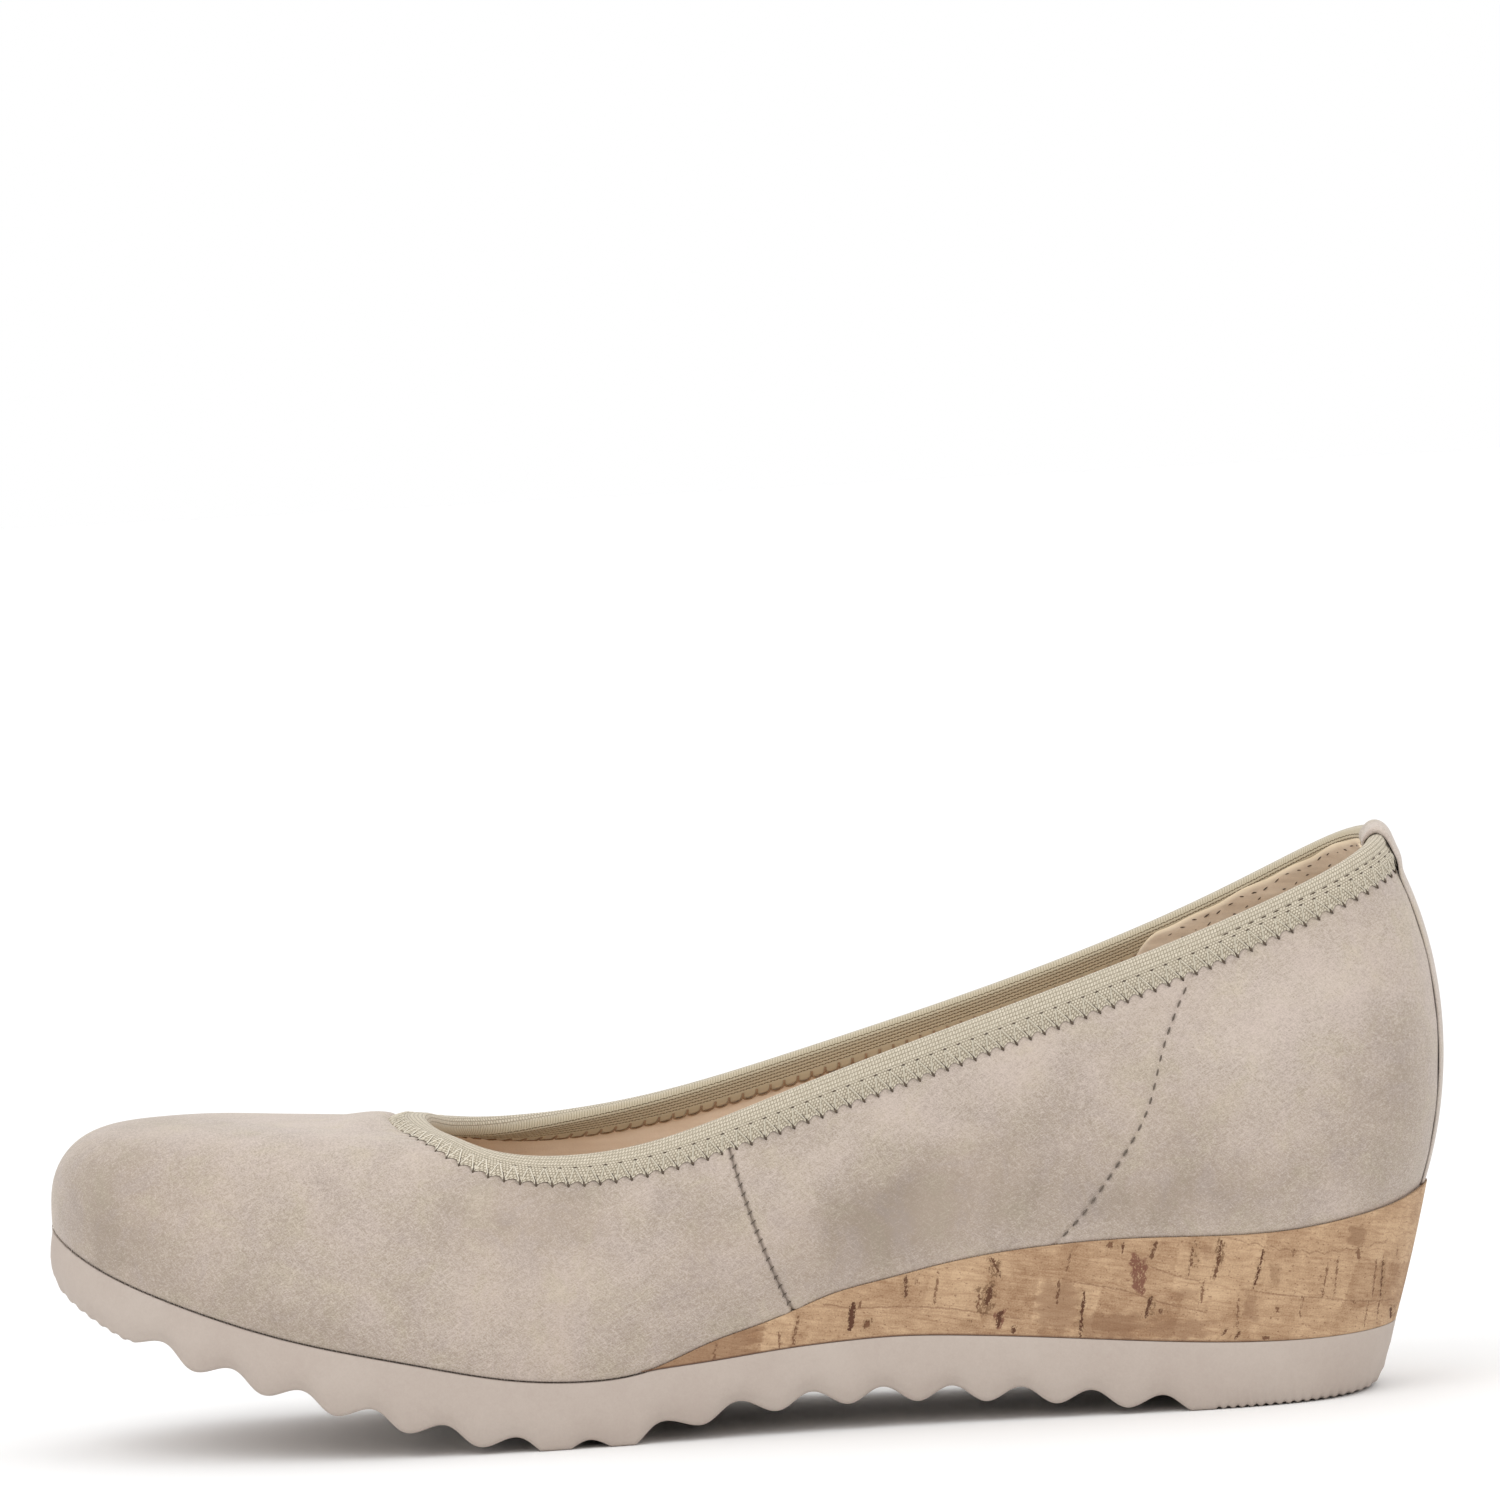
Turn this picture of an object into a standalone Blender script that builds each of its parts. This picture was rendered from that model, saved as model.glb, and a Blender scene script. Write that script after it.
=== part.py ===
"""Wedge pump, a left shoe standing empty on its sole: toe to -X, outer side to -Y, Z up, metres."""
import math

import bmesh
import bpy
import numpy as np

for old in list(bpy.data.objects):
    bpy.data.objects.remove(old, do_unlink=True)

# Driving sizes, in millimetres
MM = 0.001
LENGTH = 252.0            # toe tip to heel back
BALL_WIDTH = 82.0         # across the ball, feather line to feather line
INSTEP_HEIGHT = 55.0      # floor to the collar edge at the throat
BACK_HEIGHT = 98.3        # floor to the collar edge at the back seam
SEAT_HEIGHT = 30.8        # floor to the heel seat, under the heel of the foot
WALL = 1.9                # suede and lining together
GAP = 0.3                 # clearance between pieces that lie on each other
FOOT_LENGTH = 245.4       # feather line, heel to toe
FOOT_HEEL = 119.7         # the feather line's end at the heel, from the middle of the shoe

MIDDLE = (-0.28, 0.75, 0.0)  # middle of the finished shoe's footprint, moved onto the origin

# Binding and back strip
TAPE_THICK = 1.0
TAPE_OUTSIDE = 6.0        # tape showing below the collar, outside
TAPE_INSIDE = 5.0
STRIP_THICK = 1.2
STRIP_HALF = 6.8
STRIP_INSIDE = 9.0
INSOLE_THICK = 2.6
INSOLE_INSET = WALL + 0.7

# Wave tread
NOTCH_COLUMNS = ("number", "x")
# x from the middle of the shoe
NOTCHES = ((0, -105.2), (3, -67.9), (6, -29.6), (9, 9.6), (12, 46.1), (14, 70.9))
NOTCH_DEPTH = 2.7
LUG_STEPS = 8
WEDGE_TIP = -16.0         # front edge of the cork

# Grid of the shell
AROUND = 96
UP_WALL = 11

# Upper, a row for each rib: its place on the feather line, its end on the collar, and its two handles.
# share: of FOOT_LENGTH from the heel. across: of BALL_WIDTH, the outer side is negative.
# rim_x: of LENGTH from the middle. rim_across: of BALL_WIDTH.
# rim_up: of the way from INSTEP_HEIGHT to BACK_HEIGHT.
# Handles are shares of the rib's height; reach is the share of the way from collar to feather line.
RIB_COLUMNS = ("share", "across", "rim_x", "rim_across", "rim_up",
               "foot_out", "foot_up", "reach", "rim_out", "rim_rise")
HEEL_RIB = (0.0, 0.0, 0.4575, 0.0, 1.0, 0.113, 0.310, 0.00, 0.177, -0.303)
OUTER_RIBS = (
    (0.045, -0.265, 0.4234, -0.201, 0.878, 0.100, 0.320, 0.00, 0.150, -0.310),
    (0.160, -0.354, 0.3198, -0.293, 0.644, 0.070, 0.340, 0.30, 0.075, -0.320),
    (0.320, -0.360, 0.1687, -0.311, 0.356, 0.060, 0.330, 0.30, 0.060, -0.300),
    (0.460, -0.396, 0.0413, -0.329, 0.118, 0.080, 0.330, 0.30, 0.060, -0.300),
    (0.600, -0.463, -0.0698, -0.335, -0.083, 0.080, 0.430, 0.60, 0.050, -0.330),
    (0.720, -0.491, -0.1492, -0.305, -0.115, 0.090, 0.500, 0.62, 0.000, -0.260),
    (0.860, -0.432, -0.2008, -0.201, -0.053, 0.090, 0.760, 0.62, 0.000, 0.090),
    (0.960, -0.262, -0.2246, -0.079, -0.014, 0.085, 1.200, 0.78, 0.000, 0.270),
)
TOE_RIB = (1.0, 0.037, -0.2313, 0.030, 0.000, 0.080, 1.530, 0.80, 0.000, 0.370)
INNER_RIBS = (
    (0.960, 0.311, -0.2254, 0.140, -0.007, 0.085, 1.200, 0.78, 0.000, 0.270),
    (0.860, 0.468, -0.2048, 0.250, -0.032, 0.090, 0.760, 0.62, 0.000, 0.090),
    (0.720, 0.506, -0.1532, 0.317, -0.037, 0.080, 0.500, 0.58, 0.000, -0.240),
    (0.600, 0.451, -0.0738, 0.335, 0.016, 0.070, 0.420, 0.50, 0.040, -0.320),
    (0.460, 0.366, 0.0373, 0.317, 0.171, 0.050, 0.330, 0.30, 0.050, -0.300),
    (0.320, 0.329, 0.1687, 0.299, 0.388, 0.050, 0.330, 0.30, 0.060, -0.300),
    (0.160, 0.341, 0.3198, 0.287, 0.691, 0.070, 0.340, 0.30, 0.075, -0.320),
    (0.045, 0.262, 0.4234, 0.201, 0.960, 0.100, 0.320, 0.00, 0.150, -0.310),
)

# Side profiles: x from the middle of the shoe as a share of LENGTH, height as a share of SEAT_HEIGHT
PROFILE_COLUMNS = ("x", "up")
FEATHER_LINE = (
    (-0.500, 1.312), (-0.478, 1.198), (-0.414, 0.954), (-0.324, 0.702), (-0.235, 0.528),
    (-0.170, 0.415), (-0.120, 0.381), (-0.073, 0.422), (-0.035, 0.539), (0.017, 0.669),
    (0.057, 0.786), (0.090, 0.844), (0.133, 0.915), (0.200, 0.983), (0.270, 1.003),
    (0.380, 0.999), (0.425, 1.047), (0.456, 1.101), (0.482, 1.177),
)
CORK_LINE = (
    (-0.100, 0.393), (-0.073, 0.422), (-0.033, 0.451), (0.020, 0.494), (0.065, 0.518),
    (0.100, 0.525), (0.144, 0.509), (0.210, 0.466), (0.277, 0.417), (0.344, 0.380),
    (0.400, 0.371), (0.460, 0.386),
)
TREAD_LINE = (
    (-0.505, 1.014), (-0.471, 0.837), (-0.413, 0.602), (-0.338, 0.378), (-0.242, 0.142),
    (-0.187, 0.032), (-0.143, -0.032), (-0.099, -0.028), (-0.045, 0.078), (0.020, 0.140),
    (0.083, 0.149), (0.159, 0.118), (0.257, 0.038), (0.317, -0.015), (0.357, -0.015), (0.460, -0.015),
)

# Walls of outsole and wedge: rise above the tread or share of the wall, growth of the outline, and how far
# the level stands in from the feather line at the back of the heel.
WALL_COLUMNS = ("rise", "share", "grow", "setback")
OUTSOLE_WALL = (
    (0.0, 0.00, -0.9, 11.6),
    (0.9, 0.00, 0.0, 9.6),
    (0.0, 0.45, 0.7, 8.3),
    (0.0, 1.00, 0.0, 5.8),
)
WEDGE_WALL = (
    (0.0, 0.00, 0.0, 5.8),
    (0.0, 0.50, 0.2, 2.4),
    (0.0, 1.00, 0.5, -0.8),
)
HEEL_TURN = 40.0          # the setback starts here, from the middle of the shoe
HEEL_TAPER = 0.004        # narrowing of the heel with each millimetre of setback


def columns(rows, names):
    """A table as a dictionary of columns."""
    return {name: np.array([row[i] for row in rows]) for i, name in enumerate(names)}


def slopes(x, y, closed):
    """Slopes of the smooth cubic through the rows, closed over one turn or free at its ends."""
    n = len(x)
    a = np.zeros((n, n))
    b = np.zeros(n)
    h = np.diff(np.append(x, x[0] + 2 * math.pi)) if closed else np.diff(x)
    for i in range(n):
        if not closed and i in (0, n - 1):
            j = 1 if i == 0 else n - 2
            a[i, i] = 2.0
            a[i, j] = 1.0
            b[i] = 3.0 * (y[j] - y[i]) / (x[j] - x[i])
            continue
        left = h[i - 1]
        right = h[i % len(h)]
        a[i, i - 1] += 1.0 / left
        a[i, i] += 2.0 / left + 2.0 / right
        a[i, (i + 1) % n] += 1.0 / right
        b[i] = 3.0 * (y[i] - y[i - 1]) / left ** 2 + 3.0 * (y[(i + 1) % n] - y[i]) / right ** 2
    return np.linalg.solve(a, b)


def smooth(x, y, at, closed=False):
    """Smooth cubic through the rows of a table, read at any places."""
    m = slopes(x, y, closed)
    at = np.asarray(at, float)
    if closed:
        at = np.mod(at, 2 * math.pi)
        x = np.append(x, x[0] + 2 * math.pi)
        y = np.append(y, y[0])
        m = np.append(m, m[0])
    i = np.clip(np.searchsorted(x, at, side="right") - 1, 0, len(x) - 2)
    h = x[i + 1] - x[i]
    t = np.clip((at - x[i]) / h, 0.0, 1.0)
    rest = at - x[i] - t * h
    value = (y[i] * (2 * t ** 3 - 3 * t ** 2 + 1) + h * m[i] * (t ** 3 - 2 * t ** 2 + t)
             + y[i + 1] * (3 * t ** 2 - 2 * t ** 3) + h * m[i + 1] * (t ** 3 - t ** 2))
    return value + rest * np.where(rest > 0, m[i + 1], m[i])


# Rows in order round the shoe: heel, outer side, toe, inner side
RIBS = columns((HEEL_RIB,) + OUTER_RIBS + (TOE_RIB,) + INNER_RIBS, RIB_COLUMNS)
TURN = np.arccos(1.0 - 2.0 * RIBS["share"])
TURN[len(OUTER_RIBS) + 2:] = 2 * math.pi - TURN[len(OUTER_RIBS) + 2:]


def around(name, q):
    """A column of the rib table at any turn q round the shoe (0 heel, half a turn toe)."""
    return smooth(TURN, RIBS[name], q, closed=True)


def profile(rows, x):
    """Height of a side profile at x."""
    table = columns(rows, PROFILE_COLUMNS)
    return SEAT_HEIGHT * smooth(table["x"] * LENGTH, table["up"], x)


def turn_at(x):
    """Turn q on the outer side whose feather point lies at x."""
    return np.arccos(np.clip(1.0 - 2.0 * (FOOT_HEEL - x) / FOOT_LENGTH, -1.0, 1.0))


def feather(q):
    """Feather line in plan, and its outward direction."""
    def place(s):
        return np.stack([FOOT_HEEL - FOOT_LENGTH * (1 - np.cos(s)) / 2, BALL_WIDTH * around("across", s)], -1)
    step = place(q + 0.002) - place(q - 0.002)
    out = np.stack([-step[..., 1], step[..., 0]], -1)
    return place(q), out / np.linalg.norm(out, axis=-1, keepdims=True)


def shell(q, v):
    """Outside of the upper: cubic rib from the feather line (v = 0) to the collar edge (v = 1)."""
    q, v = np.broadcast_arrays(np.asarray(q, float), np.asarray(v, float))
    plan, out = feather(q)
    foot = np.concatenate([plan, (profile(FEATHER_LINE, plan[..., 0]) + GAP / 2)[..., None]], -1)
    rim = np.stack([LENGTH * around("rim_x", q), BALL_WIDTH * around("rim_across", q),
                    INSTEP_HEIGHT + (BACK_HEIGHT - INSTEP_HEIGHT) * around("rim_up", q)], -1)
    tall = (rim - foot)[..., 2:]
    out = np.concatenate([out, np.zeros_like(tall)], -1)
    up = np.array([0.0, 0.0, 1.0])
    level = (foot - rim) * np.array([1.0, 1.0, 0.0])
    foot_handle = foot + tall * (around("foot_out", q)[..., None] * out
                                 + around("foot_up", q)[..., None] * up)
    rim_handle = (rim + around("reach", q)[..., None] * level
                  + tall * (around("rim_out", q)[..., None] * out + around("rim_rise", q)[..., None] * up))
    w = v[..., None]
    return ((1 - w) ** 3 * foot + 3 * (1 - w) ** 2 * w * foot_handle
            + 3 * (1 - w) * w ** 2 * rim_handle + w ** 3 * rim)


def lift(q, v, height):
    """Shell point moved along the outward normal."""
    e = 0.004
    q, v, height = np.broadcast_arrays(np.asarray(q, float), np.asarray(v, float), np.asarray(height, float))
    lo = np.clip(v - e, 0.0, 1.0)
    hi = np.clip(v + e, 0.0, 1.0)
    normal = np.cross(shell(q, hi) - shell(q, lo), shell(q + e, v) - shell(q - e, v))
    normal /= np.linalg.norm(normal, axis=-1, keepdims=True)
    return shell(q, v) + height[..., None] * normal


def below_rim(q, depth, height):
    """Point at a depth down the rib from the collar edge (negative: beyond it), off the shell by height."""
    q, depth, height = (np.asarray(a, float) for a in (q, depth, height))
    q, depth, height = np.broadcast_arrays(q, depth, height)
    fine = np.linspace(1.0, 0.0, 121)
    flat_q = q.ravel()
    path = shell(flat_q[:, None], fine[None, :])
    run = np.concatenate([np.zeros((len(flat_q), 1)),
                          np.cumsum(np.linalg.norm(np.diff(path, axis=1), axis=2), axis=1)], axis=1)
    v = np.array([np.interp(max(d, 0.0), r, fine) for d, r in zip(depth.ravel(), run)])
    v = v.reshape(q.shape)
    over = shell(q, np.ones_like(q)) - shell(q, np.full_like(q, 0.985))
    over /= np.linalg.norm(over, axis=-1, keepdims=True)
    return lift(q, v, height) + np.maximum(-depth, 0.0)[..., None] * over


def make_material(name, colour, rough):
    material = bpy.data.materials.new(name)
    material.use_nodes = True
    shader = material.node_tree.nodes["Principled BSDF"]
    shader.inputs["Base Color"].default_value = (*colour, 1.0)
    shader.inputs["Roughness"].default_value = rough
    return material


PARTS = bpy.data.collections.new("wedge_pump")
bpy.context.scene.collection.children.link(PARTS)


def make_solid(name, points, faces, material):
    """Closed triangle solid with its faces outwards."""
    mesh = bpy.data.meshes.new(name)
    mesh.from_pydata(((np.asarray(points) - np.array(MIDDLE)) * MM).tolist(), [], faces)
    bm = bmesh.new()
    bm.from_mesh(mesh)
    bmesh.ops.remove_doubles(bm, verts=bm.verts, dist=1e-7)
    bmesh.ops.dissolve_degenerate(bm, edges=bm.edges, dist=1e-7)
    bmesh.ops.triangulate(bm, faces=bm.faces, quad_method="SHORT_EDGE")
    bmesh.ops.recalc_face_normals(bm, faces=bm.faces)
    bm.to_mesh(mesh)
    bm.free()
    body = bpy.data.objects.new(name, mesh)
    body.data.materials.append(material)
    PARTS.objects.link(body)
    return body


def tube_faces(rows, cols, row_closed, first=0):
    """Quads of a grid of points, closed across its columns and, where asked, along its rows."""
    faces = []
    for r in range(rows if row_closed else rows - 1):
        for c in range(cols):
            a = first + r * cols
            b = first + ((r + 1) % rows) * cols
            d = (c + 1) % cols
            faces.append((a + c, a + d, b + d, b + c))
    return faces


def stack(levels):
    """Rings stacked bottom to top and closed with strips from side to side.

    A ring runs from the heel along the outer side to the front and back along the inner side. An even ring
    shares its toe point; in an odd one the two sides end in separate front points.
    """
    ring = len(levels[0])
    points = np.concatenate(levels)
    faces = tube_faces(len(levels), ring, False)
    half = ring // 2
    for base in (0, (len(levels) - 1) * ring):
        for i in range(half):
            j = (ring - i) % ring
            k = ring - i - 1
            quad = [base + n for n in (i, i + 1, k, j)]
            quad = list(dict.fromkeys(quad))
            if len(quad) > 2:
                faces.append(tuple(quad))
    return points, faces


def wall_plan(q, grow, setback):
    """Feather outline grown in plan and drawn in round the back of the heel."""
    plan, out = feather(q)
    plan = plan + grow * out
    pull = np.clip((plan[..., 0] - HEEL_TURN) / (FOOT_HEEL - HEEL_TURN), 0.0, None) ** 2
    x = plan[..., 0] - setback * pull
    y = plan[..., 1] * (1.0 - HEEL_TAPER * setback * np.minimum(pull, 1.0))
    return x, y


def notch_phase(x):
    """Count of notches passed from the toe, whole at the top of each notch."""
    table = columns(NOTCHES, NOTCH_COLUMNS)
    return smooth(table["x"], table["number"], x)


def tread_profile(x):
    """Wave tread: the tread line with notches sunk along its normal, and flat spots on the floor."""
    phase = notch_phase(x)
    depth = NOTCH_DEPTH * (1 + np.cos(2 * math.pi * phase)) / 2
    depth = np.where((phase < -0.5) | (phase > NOTCHES[-1][0] + 0.5), 0.0, depth)
    slope = (profile(TREAD_LINE, x + 0.5) - profile(TREAD_LINE, x - 0.5))
    size = np.sqrt(1 + slope ** 2)
    return x - depth * slope / size, np.maximum(profile(TREAD_LINE, x) + depth / size, 0.0)


SUEDE = make_material("suede", (0.58, 0.50, 0.42), 0.9)
STRIP_SUEDE = make_material("strip_suede", (0.57, 0.49, 0.41), 0.9)
RUBBER = make_material("rubber", (0.55, 0.46, 0.40), 0.7)
CORK = make_material("cork", (0.58, 0.39, 0.22), 0.8)
ELASTIC = make_material("elastic", (0.57, 0.53, 0.41), 0.85)
LEATHER = make_material("leather", (0.55, 0.38, 0.26), 0.6)

# Upper: outside and inside grids joined at the feather edge and the collar edge
turns = np.arange(AROUND) * 2 * math.pi / AROUND
rises = np.linspace(0.0, 1.0, UP_WALL + 1)
outside = lift(turns[None, :], rises[:, None], 0.0)
inside = lift(turns[None, :], rises[:, None], -WALL)
inside[0, :, 2] = outside[0, :, 2]
upper_points = np.concatenate([outside, inside[::-1]]).reshape(-1, 3)
upper_faces = tube_faces(2 * (UP_WALL + 1), AROUND, True)
make_solid("upper", upper_points, upper_faces, SUEDE)

# Collar binding: a channel over the collar edge, its section in depth below the edge and height off the shell
OUT_FACE = GAP + TAPE_THICK
IN_FACE = -WALL - GAP - TAPE_THICK
TAPE_SECTION = (
    (TAPE_OUTSIDE, GAP), (TAPE_OUTSIDE, OUT_FACE), (TAPE_OUTSIDE / 2, OUT_FACE), (0.3, OUT_FACE),
    (-0.9 * OUT_FACE, 0.2), (-0.9 * OUT_FACE, -WALL - 0.2), (0.3, IN_FACE), (TAPE_INSIDE / 2, IN_FACE),
    (TAPE_INSIDE, IN_FACE), (TAPE_INSIDE, -WALL - GAP), (TAPE_INSIDE / 2, -WALL - GAP), (0.0, -WALL - GAP),
    (-GAP, -WALL - GAP), (-GAP, GAP), (0.0, GAP), (TAPE_OUTSIDE / 2, GAP),
)
section = np.array(TAPE_SECTION)
tape = below_rim(turns[:, None], section[None, :, 0], section[None, :, 1])
make_solid("collar_binding", tape.reshape(-1, 3), tube_faces(AROUND, len(section), True), ELASTIC)

# Back strip: over the back seam and the binding, folded into the heel
BACK_RUN = np.linalg.norm(np.diff(shell(0.0, np.linspace(0, 1, 200)), axis=0), axis=1).sum()
ON_SHELL = GAP
ON_TAPE = OUT_FACE + GAP
IN_TAPE = IN_FACE - GAP
STRIP_PATH = [(BACK_RUN * k / 8, ON_SHELL) for k in (7.85, 7, 6, 5, 4, 3, 2)]
STRIP_PATH += [(TAPE_OUTSIDE + 3.0, ON_SHELL), (TAPE_OUTSIDE + 0.4, ON_TAPE), (TAPE_OUTSIDE / 2, ON_TAPE),
               (0.3, ON_TAPE), (-ON_TAPE, ON_TAPE * 0.55), (-ON_TAPE, IN_TAPE * 0.85), (0.3, IN_TAPE),
               (TAPE_INSIDE / 2, IN_TAPE), (TAPE_INSIDE + 0.4, IN_TAPE), (STRIP_INSIDE, IN_TAPE)]
near = np.array(STRIP_PATH)
step = np.gradient(near, axis=0)
away = np.stack([step[:, 1], -step[:, 0]], -1)
far = near + STRIP_THICK * away / np.linalg.norm(away, axis=1, keepdims=True)
strip_section = np.concatenate([near, far[::-1]])
half_turn = STRIP_HALF / np.linalg.norm(shell(0.01, 0.5) - shell(-0.01, 0.5)) * 0.02
strip_turns = np.linspace(-half_turn, half_turn, 9)
strip = below_rim(strip_turns[:, None], strip_section[None, :, 0], strip_section[None, :, 1])
n = len(strip_section)
strip_faces = tube_faces(len(strip_turns), n, False)
for base in (0, (len(strip_turns) - 1) * n):
    for i in range(n // 2 - 1):
        strip_faces.append((base + i, base + i + 1, base + n - 2 - i, base + n - 1 - i))
make_solid("back_strip", strip.reshape(-1, 3), strip_faces, STRIP_SUEDE)

# Outsole: stations that follow the waves, closer together round toe and heel
notch = columns(NOTCHES, NOTCH_COLUMNS)
counts = np.arange(-0.5, NOTCHES[-1][0] + 0.501, 1.0 / LUG_STEPS)
waves = smooth(notch["number"], notch["x"], counts)
toe_turns = np.linspace(math.pi, turn_at(waves[0]), 9)[:-1]
heel_turns = np.linspace(turn_at(waves[-1]), 0.0, 12)[1:]
stations = np.concatenate([toe_turns, turn_at(waves), heel_turns])[::-1]
ring = np.concatenate([stations, 2 * math.pi - stations[-2:0:-1]])
wall = columns(OUTSOLE_WALL, WALL_COLUMNS)
levels = []
for rise, share, grow, setback in zip(*(wall[c] for c in WALL_COLUMNS)):
    x, y = wall_plan(ring, grow, setback)
    foot_x, low = tread_profile(x)
    top = np.where(x < WEDGE_TIP - 3.0, profile(FEATHER_LINE, x), profile(CORK_LINE, x)) - GAP / 2
    keep = 1.0 - share
    levels.append(np.stack([x + (foot_x - x) * keep, y, low * keep + top * share + rise], -1))
points, faces = stack(levels)
make_solid("outsole", points, faces, RUBBER)

# Wedge: from its thin front edge to the back of the heel
wedge_turns = np.linspace(0.0, turn_at(WEDGE_TIP), 45)
ring = np.concatenate([wedge_turns, 2 * math.pi - wedge_turns[:0:-1]])
wall = columns(WEDGE_WALL, WALL_COLUMNS)
levels = []
for rise, share, grow, setback in zip(*(wall[c] for c in WALL_COLUMNS)):
    x, y = wall_plan(ring, grow, setback)
    low = profile(CORK_LINE, x) + GAP / 2
    top = profile(FEATHER_LINE, x) - GAP / 2
    levels.append(np.stack([x, y, low * (1.0 - share) + top * share], -1))
points, faces = stack(levels)
make_solid("wedge", points, faces, CORK)

# Insole: a board that follows the foot side of outsole and wedge, inside the shell
inner_turns = np.linspace(0.0, math.pi, 61)
ring = np.concatenate([inner_turns, 2 * math.pi - inner_turns[-2:0:-1]])
levels = []
for rise in (GAP / 2, GAP / 2 + INSOLE_THICK):
    x, y = wall_plan(ring, -INSOLE_INSET, 0.0)
    levels.append(np.stack([x, y, profile(FEATHER_LINE, x) + rise], -1))
points, faces = stack(levels)
make_solid("insole", points, faces, LEATHER)

for body in PARTS.objects:
    print(body.name, len(body.data.polygons), "triangles", [round(s * 1000, 1) for s in body.dimensions])
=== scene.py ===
# %% [markdown]
# A wedge pump for a left foot: a suede shell bound with woven elastic, on a cork wedge and a wave-tread
# rubber sole. The solid model is loaded first and never changes. Every piece below is a surface worked
# out from the same sizes as the solids, with more detail, so each one lands where its solid is.

# %% Load the solid model
import math

import bmesh
import bpy
import numpy as np
from mathutils import Matrix


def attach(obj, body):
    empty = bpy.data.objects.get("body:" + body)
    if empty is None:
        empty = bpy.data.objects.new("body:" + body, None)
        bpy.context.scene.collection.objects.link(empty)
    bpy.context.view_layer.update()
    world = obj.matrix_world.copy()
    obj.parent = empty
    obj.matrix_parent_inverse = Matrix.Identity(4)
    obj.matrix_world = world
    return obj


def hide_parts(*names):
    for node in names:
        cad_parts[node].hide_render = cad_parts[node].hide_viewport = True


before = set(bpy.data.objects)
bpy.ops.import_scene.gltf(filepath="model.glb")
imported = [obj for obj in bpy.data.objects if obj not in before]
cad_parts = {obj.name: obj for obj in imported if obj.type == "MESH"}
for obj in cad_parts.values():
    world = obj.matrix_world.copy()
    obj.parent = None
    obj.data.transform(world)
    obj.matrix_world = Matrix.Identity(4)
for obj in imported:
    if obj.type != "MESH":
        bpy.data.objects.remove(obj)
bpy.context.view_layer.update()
print("solids:", sorted(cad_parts))

# %% [markdown]
# The sizes of the shoe, in millimetres. They are the ones the solids were made from: a row for each rib
# of the upper, and three profiles seen from the side. A shape that is read from a short table can be
# sampled as finely as a close view needs.

# %% Sizes and tables of the shoe
MM = 0.001
TAU = 2 * math.pi
LENGTH = 252.0            # toe tip to heel back
BALL_WIDTH = 82.0         # across the ball
INSTEP_HEIGHT = 55.0      # floor to the collar edge at the throat
BACK_HEIGHT = 98.3        # floor to the collar edge at the back seam
SEAT_HEIGHT = 30.8        # floor to the heel seat
WALL = 1.9                # suede and lining together
GAP = 0.3                 # between pieces that lie on each other
FOOT_LENGTH = 245.4       # feather line, heel to toe
FOOT_HEEL = 119.7         # heel end of the feather line
MIDDLE = (-0.28, 0.75, 0.0)   # middle of the footprint, moved onto the origin
TAPE_OUTSIDE = 6.0        # collar edge to the binding's edge, outside
TAPE_INSIDE = 5.0         # and inside
STRIP_HALF = 6.8          # half the back strip's width
STRIP_INSIDE = 9.0        # how far the strip goes down inside
INSOLE_INSET = WALL + 0.7     # feather line to the footbed's edge
NOTCH_DEPTH = 2.7         # of the waves in the tread
WEDGE_TIP = -16.0         # x of the wedge's front end
HEEL_TURN = 40.0          # x behind which the heel is drawn in towards the floor
HEEL_TAPER = 0.004        # share by which it narrows for each millimetre drawn in

RIB_COLUMNS = ("share", "across", "rim_x", "rim_across", "rim_up",
               "foot_out", "foot_up", "reach", "rim_out", "rim_rise")
HEEL_RIB = (0.0, 0.0, 0.4575, 0.0, 1.0, 0.113, 0.310, 0.00, 0.177, -0.303)
OUTER_RIBS = (
    (0.045, -0.265, 0.4234, -0.201, 0.878, 0.100, 0.320, 0.00, 0.150, -0.310),
    (0.160, -0.354, 0.3198, -0.293, 0.644, 0.070, 0.340, 0.30, 0.075, -0.320),
    (0.320, -0.360, 0.1687, -0.311, 0.356, 0.060, 0.330, 0.30, 0.060, -0.300),
    (0.460, -0.396, 0.0413, -0.329, 0.118, 0.080, 0.330, 0.30, 0.060, -0.300),
    (0.600, -0.463, -0.0698, -0.335, -0.083, 0.080, 0.430, 0.60, 0.050, -0.330),
    (0.720, -0.491, -0.1492, -0.305, -0.115, 0.090, 0.500, 0.62, 0.000, -0.260),
    (0.860, -0.432, -0.2008, -0.201, -0.053, 0.090, 0.760, 0.62, 0.000, 0.090),
    (0.960, -0.262, -0.2246, -0.079, -0.014, 0.085, 1.200, 0.78, 0.000, 0.270),
)
TOE_RIB = (1.0, 0.037, -0.2313, 0.030, 0.000, 0.080, 1.530, 0.80, 0.000, 0.370)
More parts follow.
